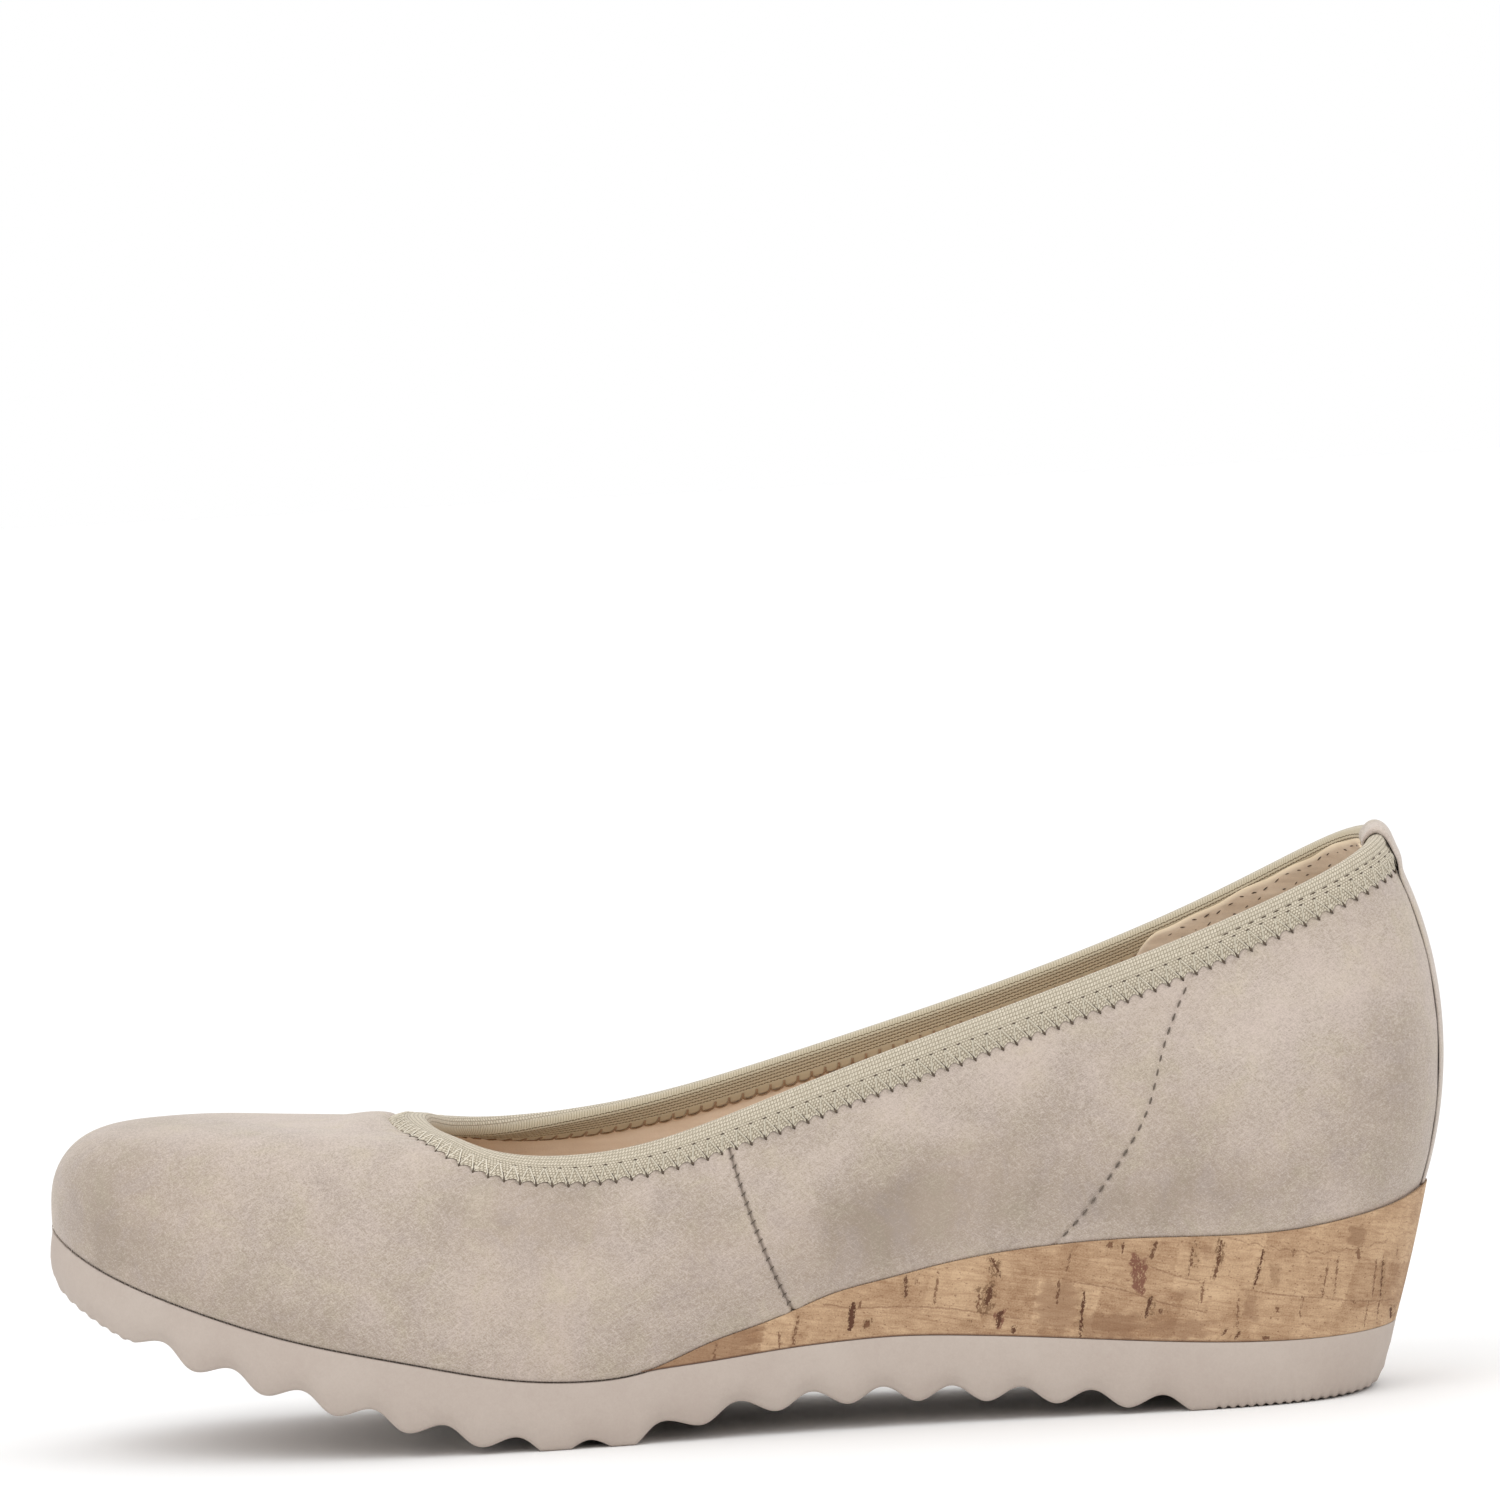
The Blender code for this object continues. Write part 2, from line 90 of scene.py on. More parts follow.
INNER_RIBS = (
    (0.960, 0.311, -0.2254, 0.140, -0.007, 0.085, 1.200, 0.78, 0.000, 0.270),
    (0.860, 0.468, -0.2048, 0.250, -0.032, 0.090, 0.760, 0.62, 0.000, 0.090),
    (0.720, 0.506, -0.1532, 0.317, -0.037, 0.080, 0.500, 0.58, 0.000, -0.240),
    (0.600, 0.451, -0.0738, 0.335, 0.016, 0.070, 0.420, 0.50, 0.040, -0.320),
    (0.460, 0.366, 0.0373, 0.317, 0.171, 0.050, 0.330, 0.30, 0.050, -0.300),
    (0.320, 0.329, 0.1687, 0.299, 0.388, 0.050, 0.330, 0.30, 0.060, -0.300),
    (0.160, 0.341, 0.3198, 0.287, 0.691, 0.070, 0.340, 0.30, 0.075, -0.320),
    (0.045, 0.262, 0.4234, 0.201, 0.960, 0.100, 0.320, 0.00, 0.150, -0.310),
)
PROFILE_COLUMNS = ("x", "up")
FEATHER_LINE = (
    (-0.500, 1.312), (-0.478, 1.198), (-0.414, 0.954), (-0.324, 0.702), (-0.235, 0.528),
    (-0.170, 0.415), (-0.120, 0.381), (-0.073, 0.422), (-0.035, 0.539), (0.017, 0.669),
    (0.057, 0.786), (0.090, 0.844), (0.133, 0.915), (0.200, 0.983), (0.270, 1.003),
    (0.380, 0.999), (0.425, 1.047), (0.456, 1.101), (0.482, 1.177),
)
CORK_LINE = (
    (-0.100, 0.393), (-0.073, 0.422), (-0.033, 0.451), (0.020, 0.494), (0.065, 0.518),
    (0.100, 0.525), (0.144, 0.509), (0.210, 0.466), (0.277, 0.417), (0.344, 0.380),
    (0.400, 0.371), (0.460, 0.386),
)
TREAD_LINE = (
    (-0.505, 1.014), (-0.471, 0.837), (-0.413, 0.602), (-0.338, 0.378), (-0.242, 0.142),
    (-0.187, 0.032), (-0.143, -0.032), (-0.099, -0.028), (-0.045, 0.078), (0.020, 0.140),
    (0.083, 0.149), (0.159, 0.118), (0.257, 0.038), (0.317, -0.015), (0.357, -0.015), (0.460, -0.015),
)
NOTCH_COLUMNS = ("number", "x")
NOTCHES = ((0, -105.2), (3, -67.9), (6, -29.6), (9, 9.6), (12, 46.1), (14, 70.9))

# %% [markdown]
# A smooth cubic runs through the rows of each table. Between two rows it is the usual Hermite cubic, and
# its slopes come from one small set of linear equations, so the curve bends evenly. The rib tables close
# on themselves after a full turn round the shoe.

# %% Smooth curves through tables


def columns(rows, names):
    """A table as a dictionary of columns."""
    return {name: np.array([row[i] for row in rows], float) for i, name in enumerate(names)}


def slopes(x, y, closed):
    """Slopes at the rows for which neighbouring cubics also share their second derivative."""
    n = len(x)
    a, b = np.zeros((n, n)), np.zeros(n)
    h = np.diff(np.append(x, x[0] + TAU)) if closed else np.diff(x)
    for i in range(n):
        if not closed and i in (0, n - 1):
            j = 1 if i == 0 else n - 2
            a[i, i], a[i, j] = 2.0, 1.0
            b[i] = 3.0 * (y[j] - y[i]) / (x[j] - x[i])
            continue
        left, right = h[i - 1], h[i % len(h)]
        a[i, i - 1] += 1.0 / left
        a[i, i] += 2.0 / left + 2.0 / right
        a[i, (i + 1) % n] += 1.0 / right
        b[i] = 3.0 * (y[i] - y[i - 1]) / left ** 2 + 3.0 * (y[(i + 1) % n] - y[i]) / right ** 2
    return np.linalg.solve(a, b)


def smooth(x, y, at, closed=False):
    """Hermite cubic through the rows, carried on straight beyond both ends."""
    m = slopes(x, y, closed)
    at = np.asarray(at, float)
    if closed:
        at = np.mod(at, TAU)
        x, y, m = np.append(x, x[0] + TAU), np.append(y, y[0]), np.append(m, m[0])
    i = np.clip(np.searchsorted(x, at, side="right") - 1, 0, len(x) - 2)
    h = x[i + 1] - x[i]
    t = np.clip((at - x[i]) / h, 0.0, 1.0)
    rest = at - x[i] - t * h
    value = (y[i] * (2 * t ** 3 - 3 * t ** 2 + 1) + h * m[i] * (t ** 3 - 2 * t ** 2 + t)
             + y[i + 1] * (3 * t ** 2 - 2 * t ** 3) + h * m[i + 1] * (t ** 3 - t ** 2))
    return value + rest * np.where(rest > 0, m[i + 1], m[i])


def step(low, high, x):
    """Soft step from 0 at low to 1 at high: three squares less two cubes."""
    t = np.clip((np.asarray(x, float) - low) / (high - low), 0.0, 1.0)
    return t * t * (3 - 2 * t)


RIBS = columns((HEEL_RIB,) + OUTER_RIBS + (TOE_RIB,) + INNER_RIBS, RIB_COLUMNS)
TURN = np.arccos(1.0 - 2.0 * RIBS["share"])
TURN[len(OUTER_RIBS) + 2:] = TAU - TURN[len(OUTER_RIBS) + 2:]
print("ribs round the shoe:", len(TURN))

# %% [markdown]
# The wall of the upper. A turn q goes round the shoe, from the heel along the outer side to the toe and
# back along the inner side. On each rib a cubic curve climbs from the feather line, where upper and sole
# meet, to the collar edge. Depths are measured down the rib from the collar edge, because tape, stitches
# and strip are all placed by their distance from that edge.

# %% The wall of the upper


def around(name, q):
    """A column of the rib table at any turn q."""
    return smooth(TURN, RIBS[name], q, closed=True)


def profile(rows, x):
    """Height of a side profile at x."""
    table = columns(rows, PROFILE_COLUMNS)
    return SEAT_HEIGHT * smooth(table["x"] * LENGTH, table["up"], x)


def feather(q):
    """Feather line in plan and its outward direction: x runs as a cosine of the turn."""
    def place(s):
        x = FOOT_HEEL - FOOT_LENGTH * (1 - np.cos(s)) / 2
        return np.stack([x, BALL_WIDTH * around("across", s)], -1)
    e = 0.002     # half the step over which the direction is taken
    way = place(q + e) - place(q - e)
    out = np.stack([-way[..., 1], way[..., 0]], -1)
    return place(q), out / np.linalg.norm(out, axis=-1, keepdims=True)


def shell(q, v):
    """Cubic rib from the feather line (v = 0) to the collar edge (v = 1), by its two ends and two handles."""
    q, v = np.broadcast_arrays(np.asarray(q, float), np.asarray(v, float))
    plan, out = feather(q)
    foot = np.concatenate([plan, (profile(FEATHER_LINE, plan[..., 0]) + GAP / 2)[..., None]], -1)
    rim = np.stack([LENGTH * around("rim_x", q), BALL_WIDTH * around("rim_across", q),
                    INSTEP_HEIGHT + (BACK_HEIGHT - INSTEP_HEIGHT) * around("rim_up", q)], -1)
    tall = (rim - foot)[..., 2:]
    out = np.concatenate([out, np.zeros_like(tall)], -1)
    up = np.array([0.0, 0.0, 1.0])
    level = (foot - rim) * np.array([1.0, 1.0, 0.0])
    low = foot + tall * (around("foot_out", q)[..., None] * out + around("foot_up", q)[..., None] * up)
    high = (rim + around("reach", q)[..., None] * level
            + tall * (around("rim_out", q)[..., None] * out + around("rim_rise", q)[..., None] * up))
    w = v[..., None]
    return (1 - w) ** 3 * foot + 3 * (1 - w) ** 2 * w * low + 3 * (1 - w) * w ** 2 * high + w ** 3 * rim


def lift(q, v, height):
    """Wall point moved along the outward normal, the cross product of the two directions of the wall."""
    e = 0.004     # half the step over which the directions are taken
    q, v, height = np.broadcast_arrays(*(np.asarray(a, float) for a in (q, v, height)))
    normal = np.cross(shell(q, np.clip(v + e, 0, 1)) - shell(q, np.clip(v - e, 0, 1)),
                      shell(q + e, v) - shell(q - e, v))
    normal /= np.linalg.norm(normal, axis=-1, keepdims=True)
    return shell(q, v) + height[..., None] * normal


def run_along(path):
    """Distance from the first point of a path to each point, as the sum of the straight bits between."""
    return np.append(0.0, np.linalg.norm(np.diff(path, axis=0), axis=1).cumsum())


# Look-up of depth down the ribs: at each of many turns, the rise v at even shares of the rib's length
LOOK_TURNS, LOOK_STEPS = 720, 240
look_q = np.linspace(0, TAU, LOOK_TURNS + 1)
look_v = np.linspace(1, 0, LOOK_STEPS + 1)
look_path = shell(look_q[:, None], look_v[None, :])
look_run = np.linalg.norm(np.diff(look_path, axis=1), axis=2).cumsum(axis=1)
look_run = np.concatenate([np.zeros((LOOK_TURNS + 1, 1)), look_run], axis=1)
look_long = look_run[:, -1]
look_rise = np.stack([np.interp(np.linspace(0, run[-1], LOOK_STEPS + 1), run, look_v) for run in look_run])
rim_run = run_along(look_path[:, 0])
RIM_LENGTH = rim_run[-1]


def rib_length(q):
    """Length of the rib at turn q, collar edge to feather line."""
    return np.interp(np.mod(q, TAU), look_q, look_long)


def rise_at(q, depth):
    """Rise v of the point a depth down the rib, blended between the four nearest entries of the look-up."""
    q = np.mod(q, TAU)
    a = q / TAU * LOOK_TURNS
    b = np.clip(depth / rib_length(q), 0, 1) * LOOK_STEPS
    i = np.minimum(a.astype(int), LOOK_TURNS - 1)
    k = np.minimum(b.astype(int), LOOK_STEPS - 1)
    s, t = a - i, b - k
    return ((1 - s) * ((1 - t) * look_rise[i, k] + t * look_rise[i, k + 1])
            + s * ((1 - t) * look_rise[i + 1, k] + t * look_rise[i + 1, k + 1]))


def on_wall(q, depth, height):
    """Point at a depth below the collar edge and a height off the wall; a negative depth is past the edge."""
    q, depth, height = np.broadcast_arrays(*(np.asarray(a, float) for a in (q, depth, height)))
    top = shell(q, np.ones_like(q))
    over = top - shell(q, np.full_like(q, 0.985))     # direction of the rib's last bit
    over /= np.linalg.norm(over, axis=-1, keepdims=True)
    return lift(q, rise_at(q, np.maximum(depth, 0)), height) + np.maximum(-depth, 0)[..., None] * over


def rim_place(q):
    """Distance along the collar edge, from the back seam round by the outer side."""
    return np.interp(np.mod(q, TAU), look_q, rim_run)


def turn_of(distance):
    """Turn at a distance along the collar edge."""
    return np.interp(np.mod(distance, RIM_LENGTH), rim_run, look_q)


print(f"collar edge {RIM_LENGTH:.0f} mm round, ribs {look_long.min():.0f} to {look_long.max():.0f} mm")

# %% [markdown]
# Points become a mesh in one place. A grid of points gives four-sided faces by index arithmetic. A closed
# piece is turned right side out by the sign of its volume, so no piece can end up inside out.

# %% From points to meshes


def grid_corners(rows, cols, row_loop=False, col_loop=False):
    """Row and column of the four corners of each quad of a grid, counted on past the end where it loops."""
    r, c = np.meshgrid(np.arange(rows - (not row_loop)), np.arange(cols - (not col_loop)), indexing="ij")
    rr = np.stack([r, r, r + 1, r + 1], -1).reshape(-1, 4)
    cc = np.stack([c, c + 1, c + 1, c], -1).reshape(-1, 4)
    return rr, cc


def grid_faces(rows, cols, row_loop=False, col_loop=False):
    """The same corners as numbers of points, row after row."""
    rr, cc = grid_corners(rows, cols, row_loop, col_loop)
    return (rr % rows) * cols + cc % cols


def put(name, points, faces, finish, uv=None, values=None, merge=False):
    """Mesh object of points in millimetres; faces and uv are lists of corner arrays, values are per point.
    The volume is a sum of tetrahedra from the origin, and its sign tells which way the faces look."""
    points = np.asarray(points, float).reshape(-1, 3)
    volume = 0.0
    for f in faces:
        a = points[f[:, 0]]
        for k in range(1, f.shape[1] - 1):
            volume += np.einsum("ij,ij->", a, np.cross(points[f[:, k]], points[f[:, k + 1]])) / 6
    if volume < 0:
        faces = [f[:, ::-1] for f in faces]
        uv = None if uv is None else [m[:, ::-1] for m in uv]
    mesh = bpy.data.meshes.new(name)
    corners = np.concatenate([f.ravel() for f in faces]).astype(np.int32)
    sides = np.concatenate([np.full(len(f), f.shape[1]) for f in faces]).astype(np.int32)
    mesh.vertices.add(len(points))
    mesh.vertices.foreach_set("co", ((points - np.array(MIDDLE)) * MM).astype(np.float32).ravel())
    mesh.loops.add(len(corners))
    mesh.loops.foreach_set("vertex_index", corners)
    mesh.polygons.add(len(sides))
    mesh.polygons.foreach_set("loop_start", (np.cumsum(sides) - sides).astype(np.int32))
    if uv is not None:
        layer = mesh.uv_layers.new(name="flat")
        layer.uv.foreach_set("vector", np.concatenate([m.ravel() for m in uv]).astype(np.float32))
    for key, value in (values or {}).items():
        carried = mesh.attributes.new(key, "FLOAT", "POINT")
        carried.data.foreach_set("value", np.asarray(value, np.float32).ravel())
    mesh.update(calc_edges=True)
    if merge:     # ends that shrink to a line are closed; both distances are in metres
        bm = bmesh.new()
        bm.from_mesh(mesh)
        bmesh.ops.remove_doubles(bm, verts=bm.verts, dist=2e-6)
        bmesh.ops.dissolve_degenerate(bm, edges=bm.edges, dist=1e-7)
        bm.to_mesh(mesh)
        bm.free()
    mesh.polygons.foreach_set("use_smooth", np.full(len(mesh.polygons), True))
    mesh.update()
    piece = bpy.data.objects.new(name, mesh)
    bpy.context.scene.collection.objects.link(piece)
    mesh.materials.append(finish)
    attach(piece, "root")
    count = sum(len(p.vertices) - 2 for p in mesh.polygons)
    print(f"{name}: {count} triangles, {abs(volume) / 1000:.2f} cubic centimetres")
    return piece


def threads(paths, radius, up, sides=6):
    """Round threads: at each point of a path, a ring of points at the radius across the path's direction."""
    along = np.gradient(paths, axis=1)
    along /= np.linalg.norm(along, axis=-1, keepdims=True)
    across = np.cross(along, up)
    across /= np.linalg.norm(across, axis=-1, keepdims=True)
    top = np.cross(across, along)
    turn = (np.arange(sides) * TAU / sides)[:, None]
    ring = np.cos(turn) * across[..., None, :] + np.sin(turn) * top[..., None, :]
    points = paths[..., None, :] + np.broadcast_to(radius, paths.shape[:2])[..., None, None] * ring
    n, k = paths.shape[:2]
    first = np.arange(n * k).reshape(n, k, 1) * sides
    c = np.arange(sides)
    d = (c + 1) % sides
    a, b = first[:, :-1], first[:, 1:]
    quads = np.stack([a + c, a + d, b + d, b + c], -1).reshape(-1, 4)
    return points.reshape(-1, 3), [quads, first[:, 0] + c[::-1], first[:, -1] + c]


def lay(q, depth, height, radius):
    """Threads that lie on the wall, by turn, depth below the collar edge and height off the wall."""
    base = on_wall(q, depth, height)
    return threads(base, radius, on_wall(q, depth, height + 1.0) - base)


def joined(parts):
    """Several sets of points and faces as one, with the later corner numbers moved up."""
    points, faces, base = [], [], 0
    for p, fs in parts:
        points.append(p)
        faces += [f + base for f in fs]
        base += len(p)
    return np.concatenate(points), faces


def between(first, last, count):
    """Points at even steps from each first point to its last one, both ends left out."""
    share = np.linspace(0, 1, count + 2)[1:-1][None, :, None]
    return first[:, None] * (1 - share) + last[:, None] * share


# %% [markdown]
# Finishes are node trees written as sums. A Wire stands for one socket; plus, minus, times and the like
# add a Math node. Colours go through a Mix node, because a Math node would turn them grey. Every other
# node comes from the one method that sets its settings first and its sockets after.

# %% Writing shaders as expressions


class Wire:
    """One output socket of a finish's node tree."""

    def __init__(self, finish, socket):
        self.finish, self.socket = finish, socket

    def math(self, operation, *others):
        """Math node over this wire and the others, in that order."""
        sockets = {i: v for i, v in enumerate((self, *others))}
        return self.finish.node("ShaderNodeMath", {"operation": operation}, sockets)

    def __add__(self, other):
        return self.math("ADD", other)

    def __sub__(self, other):
        return self.math("SUBTRACT", other)

    def __rsub__(self, other):
        return (self * -1) + other

    def __mul__(self, other):
        return self.math("MULTIPLY", other)

    def __truediv__(self, other):
        return self.math("DIVIDE", other)

    def __rtruediv__(self, other):
        return self.math("POWER", -1.0) * other

    __radd__ = __add__
    __rmul__ = __mul__

    def step(self, low, high):
        """Soft step from 0 at low to 1 at high."""
        return self.finish.node("ShaderNodeMapRange", {"interpolation_type": "SMOOTHSTEP"},
                                {"Value": self, "From Min": low, "From Max": high})


class Finish:
    """A material with its Principled shader, and the ways to add nodes to it."""

    def __init__(self, name, **constant):
        self.material = bpy.data.materials.new(name)
        self.material.use_nodes = True
        self.tree = self.material.node_tree
        self.shader = self.tree.nodes["Principled BSDF"]
        for key, value in constant.items():
            self.shader.inputs[key.replace("_", " ")].default_value = value

    def node(self, kind, settings, sockets, out=0):
        """Adds a node: its settings, then a value or a Wire for each named socket; gives an output."""
        made = self.tree.nodes.new(kind)
        for key, value in settings.items():
            setattr(made, key, value)
        for key, value in sockets.items():
            self.feed(made.inputs[key], value)
        return Wire(self, made.outputs[out])

    def feed(self, socket, value):
        """Links a Wire to a socket or sets a plain value; a colour of three numbers becomes opaque."""
        if isinstance(value, Wire):
            self.tree.links.new(value.socket, socket)
        else:
            socket.default_value = (*value, 1.0) if socket.type == "RGBA" and len(value) == 3 else value

    def place(self):
        """Place on the shoe, in millimetres."""
        at = self.node("ShaderNodeTexCoord", {}, {}, "Object")
        return self.node("ShaderNodeVectorMath", {"operation": "SCALE"}, {0: at, "Scale": 1 / MM})

    def flat(self):
        """Place on the piece's own flat map, in millimetres."""
        return self.node("ShaderNodeUVMap", {"uv_map": "flat"}, {})

    def parts(self, vector):
        """The first two coordinates of a place."""
        first = self.node("ShaderNodeSeparateXYZ", {}, {0: vector})
        return first, Wire(self, first.socket.node.outputs[1])

    def value(self, name):
        """A value that the mesh carries at its points, 0 on a mesh without it."""
        return self.node("ShaderNodeAttribute", {"attribute_name": name}, {}, "Fac")

    def stretch(self, vector, size, turn=0.0, tip=0.0):
        """A place counted in grains of a size, the grain turned about Z and tipped about Y."""
        return self.node("ShaderNodeMapping", {"vector_type": "TEXTURE"},
                         {"Vector": vector, "Scale": size, "Rotation": (0, tip, turn)})

    def noise(self, vector, scale, detail=3.0, rough=0.55, warp=0.0):
        """Noise at a place, about a half on average; a scale of 1 gives grains of one unit."""
        return self.node("ShaderNodeTexNoise", {}, {"Vector": vector, "Scale": scale, "Detail": detail,
                                                    "Roughness": rough, "Distortion": warp})

    def mix(self, share, first, second, blend="MIX"):
        """Colour between two, by a share."""
        made = self.tree.nodes.new("ShaderNodeMix")
        made.data_type, made.blend_type, made.clamp_factor = "RGBA", blend, True
        self.feed(made.inputs["Factor"], share)
        for socket, value in ((made.inputs[6], first), (made.inputs[7], second)):
            self.feed(socket, value)
        return Wire(self, made.outputs[2])

    def coats(self, colour, *layers):
        """Screen colours laid over a first colour one after another, each by its own share."""
        for share, screen in layers:
            colour = self.mix(share, colour, shade_of(*screen))
        return colour

    def bump(self, height, size, strength=1.0):
        """Relief of a height in millimetres."""
        sockets = {"Height": height, "Distance": size * MM, "Strength": strength}
        normal = self.node("ShaderNodeBump", {}, sockets)
        self.tree.links.new(normal.socket, self.shader.inputs["Normal"])

    def done(self, colour, rough=None):
        """Feeds colour and roughness to the shader and gives the finished material."""
        self.feed(self.shader.inputs["Base Color"], colour)
        if rough is not None:
            self.feed(self.shader.inputs["Roughness"], rough)
        return self.material


def shade_of(r, g, b):
    """Screen colour, 0 to 255, as the linear light the shader works in."""
    c = np.array([r, g, b]) / 255
    return tuple(float(x) for x in np.where(c <= 0.04045, c / 12.92, ((c + 0.055) / 1.055) ** 2.4))


# %% [markdown]
# Suede is split leather with a brushed nap. It scatters light at every angle, so it is very rough with a
# little sheen. Its colour drifts softly where the nap lies another way, and close up it is a fine speckle of
# fibre ends. Noises of falling size give drift, clouds, flecks and fibres. Two more, stretched and slanted
# upwards and downwards, give the short hairs that lie in the nap. One moves the hue a little, because the
# dye takes unevenly. A photograph of suede would fix light and grain, so none is used. The mesh carries a
# tone of painted shade and light on the upper, and painted shade along the cut edge and in the seams.

# %% Suede


def suede_finish(name, light, dark):
    """Colour between two tones by the sum of all the noises and the tone the mesh carries, on the upper
    mostly painted shade and light. It is tinted where the hue noise is high or low, and darkened by painted
    shade where the mesh carries an edge."""
    f = Finish(name, Sheen_Weight=0.25, Sheen_Roughness=0.5, Specular_IOR_Level=0.12)
    at = f.place()
    drift = f.noise(at, 0.045, 3.0, 0.6, 0.6)
    cloud = f.noise(at, 0.16, 3.0, 0.6, 0.4)
    fleck = f.noise(f.stretch(at, (0.75, 0.75, 0.34), 0.5), 1.0, 3.0, 0.7)
    fibre = f.noise(f.stretch(at, (0.26, 0.26, 0.18), 0.2), 1.0, 2.0, 0.75)
    rising = f.noise(f.stretch(at, (1.3, 0.7, 0.24), 0.2, -0.5), 1.0, 2.0, 0.6)
    falling = f.noise(f.stretch(at, (1.1, 0.7, 0.24), -0.2, 0.8), 1.0, 2.0, 0.6)
    hair = rising.math("MAXIMUM", falling)
    tone = 0.5 + (drift - 0.5) * 0.36 + (cloud - 0.5) * 0.22 + (fleck - 0.5) * 0.42 + (fibre - 0.5) * 1.1
    # The mesh's tone: on the upper, painted shade in hollows and patches and painted light on ridges.
    tone = tone + (hair - 0.545) * 0.95 + f.value("tone")
    colour = f.mix(tone.step(0.05, 0.95), dark, light)
    colour = f.mix((drift - 0.42) * 0.9, colour, shade_of(190, 172, 158))
    hue = f.noise(at, 0.12, 4.0, 0.65, 0.6)
    colour = f.mix(hue.step(0.48, 0.66) * 0.6, colour, shade_of(192, 177, 167), "COLOR")
    colour = f.mix(hue.step(0.50, 0.34) * 0.5, colour, shade_of(186, 173, 154), "COLOR")
    # Painted shade along the cut edge, in the seams and along the strip's side edges.
    colour = f.mix(f.value("edge"), colour, shade_of(92, 78, 66))
    f.bump(fleck * 0.5 + fibre * 0.5 + cloud * 0.6, 0.20, 0.5)
    return f.done(colour, (fleck * 0.12) + 0.86)


suede = suede_finish("suede", shade_of(197, 184, 173), shade_of(149, 135, 121))
print("suede nodes:", len(suede.node_tree.nodes))

# %% [markdown]
# The upper is cut as a vamp and two quarters, closed by a seam on each side, with a dashed line of stitches
# where the stiffener sits round the heel. Columns of the grid follow these lines, so a groove can be as
# narrow as a real seam without a fine grid everywhere.

# %% The suede upper: cut lines and grid
LINE_COLUMNS = ("share", "turn")
VAMP_LINE = ((0.0, 1.628), (0.5, 1.558), (1.0, 1.489))
COUNTER_LINE = ((0.0, 0.785), (0.1, 0.822), (0.2, 0.857), (0.38, 0.899), (0.535, 0.924),
                (0.665, 0.962), (0.78, 1.003), (0.9, 1.047), (1.0, 1.092))


def cut_line(rows, share):
    """Turn of a cut line at a share of the way from collar to feather line."""
    table = columns(rows, LINE_COLUMNS)
    return smooth(table["share"], table["turn"], share)


def spaced(length, coarse, fine_first, fine_last, fine=0.17):
    """Shares along a stretch; steps grow by a quarter from a fine end until they are coarse."""
    growing = np.cumsum(np.minimum(coarse, fine * 1.25 ** np.arange(300.0)))
    even = np.cumsum(np.full(300, coarse))
    first = growing if fine_first else even
    last = growing if fine_last else even
    first, last = first[first < length / 2], last[last < length / 2 - coarse / 3]
    return np.concatenate([[0.0], first, (length - last)[::-1]]) / length


COARSE = 0.70             # step between columns away from the cut lines
HEEL_PART, SIDE_PART, VAMP_PART = 62, 72, 155     # rough lengths from heel to line, line to seam, seam to toe
stretches = [spaced(HEEL_PART, COARSE, False, True), spaced(SIDE_PART, COARSE, True, True),
             spaced(VAMP_PART, COARSE, True, False)]
stretches += [np.append(0.0, 1 - s[:0:-1]) for s in stretches[::-1]]
col_part = np.concatenate([np.full(len(s), i) for i, s in enumerate(stretches)])
col_share = np.concatenate(stretches)


def suede_turn(share):
    """Turn of every grid column at each share of the wall: blended between the cut lines on its two sides."""
    counter, vamp = cut_line(COUNTER_LINE, share), cut_line(VAMP_LINE, share)
    none = np.zeros_like(share)
    lines = np.stack([none, counter, vamp, none + math.pi, TAU - vamp, TAU - counter, none + TAU])
    number = np.broadcast_to(col_part, (1, *share.shape))
    here, there = (np.take_along_axis(lines, number + k, 0)[0] for k in (0, 1))
    return here + col_share * (there - here)


UNDER_TAPE = (0.0, 2.2, 4.4)              # depths of the first rows
NEAR_TAPE = np.arange(5.2, 9.4, 0.42)
FREE_ROWS = 56                            # rows from there down to the edge, at even shares of the rib
EDGE_ROLL = 1.3                           # the cut edge rolls in over this length
ROLL_ROWS = np.array([0.35, 0.6, 0.8, 0.93, 1.0])
row_mm = np.concatenate([UNDER_TAPE, NEAR_TAPE, np.full(FREE_ROWS, NEAR_TAPE[-1]),
                         NEAR_TAPE[-1] + EDGE_ROLL * ROLL_ROWS])
row_free = np.concatenate([np.zeros(len(UNDER_TAPE) + len(NEAR_TAPE)), np.linspace(0, 1, FREE_ROWS + 1)[1:],
                           np.ones(len(ROLL_ROWS))])
taken = NEAR_TAPE[-1] + EDGE_ROLL
share = np.repeat(np.linspace(0, 1, len(row_mm))[:, None], len(col_part), 1)
for again in range(4):     # the cut lines lean, so turn and share are found from each other
    suede_q = suede_turn(share)
    long = rib_length(suede_q)
    depth = row_mm[:, None] + row_free[:, None] * (long - taken)
    share = depth / long
print("suede grid:", suede_q.shape)
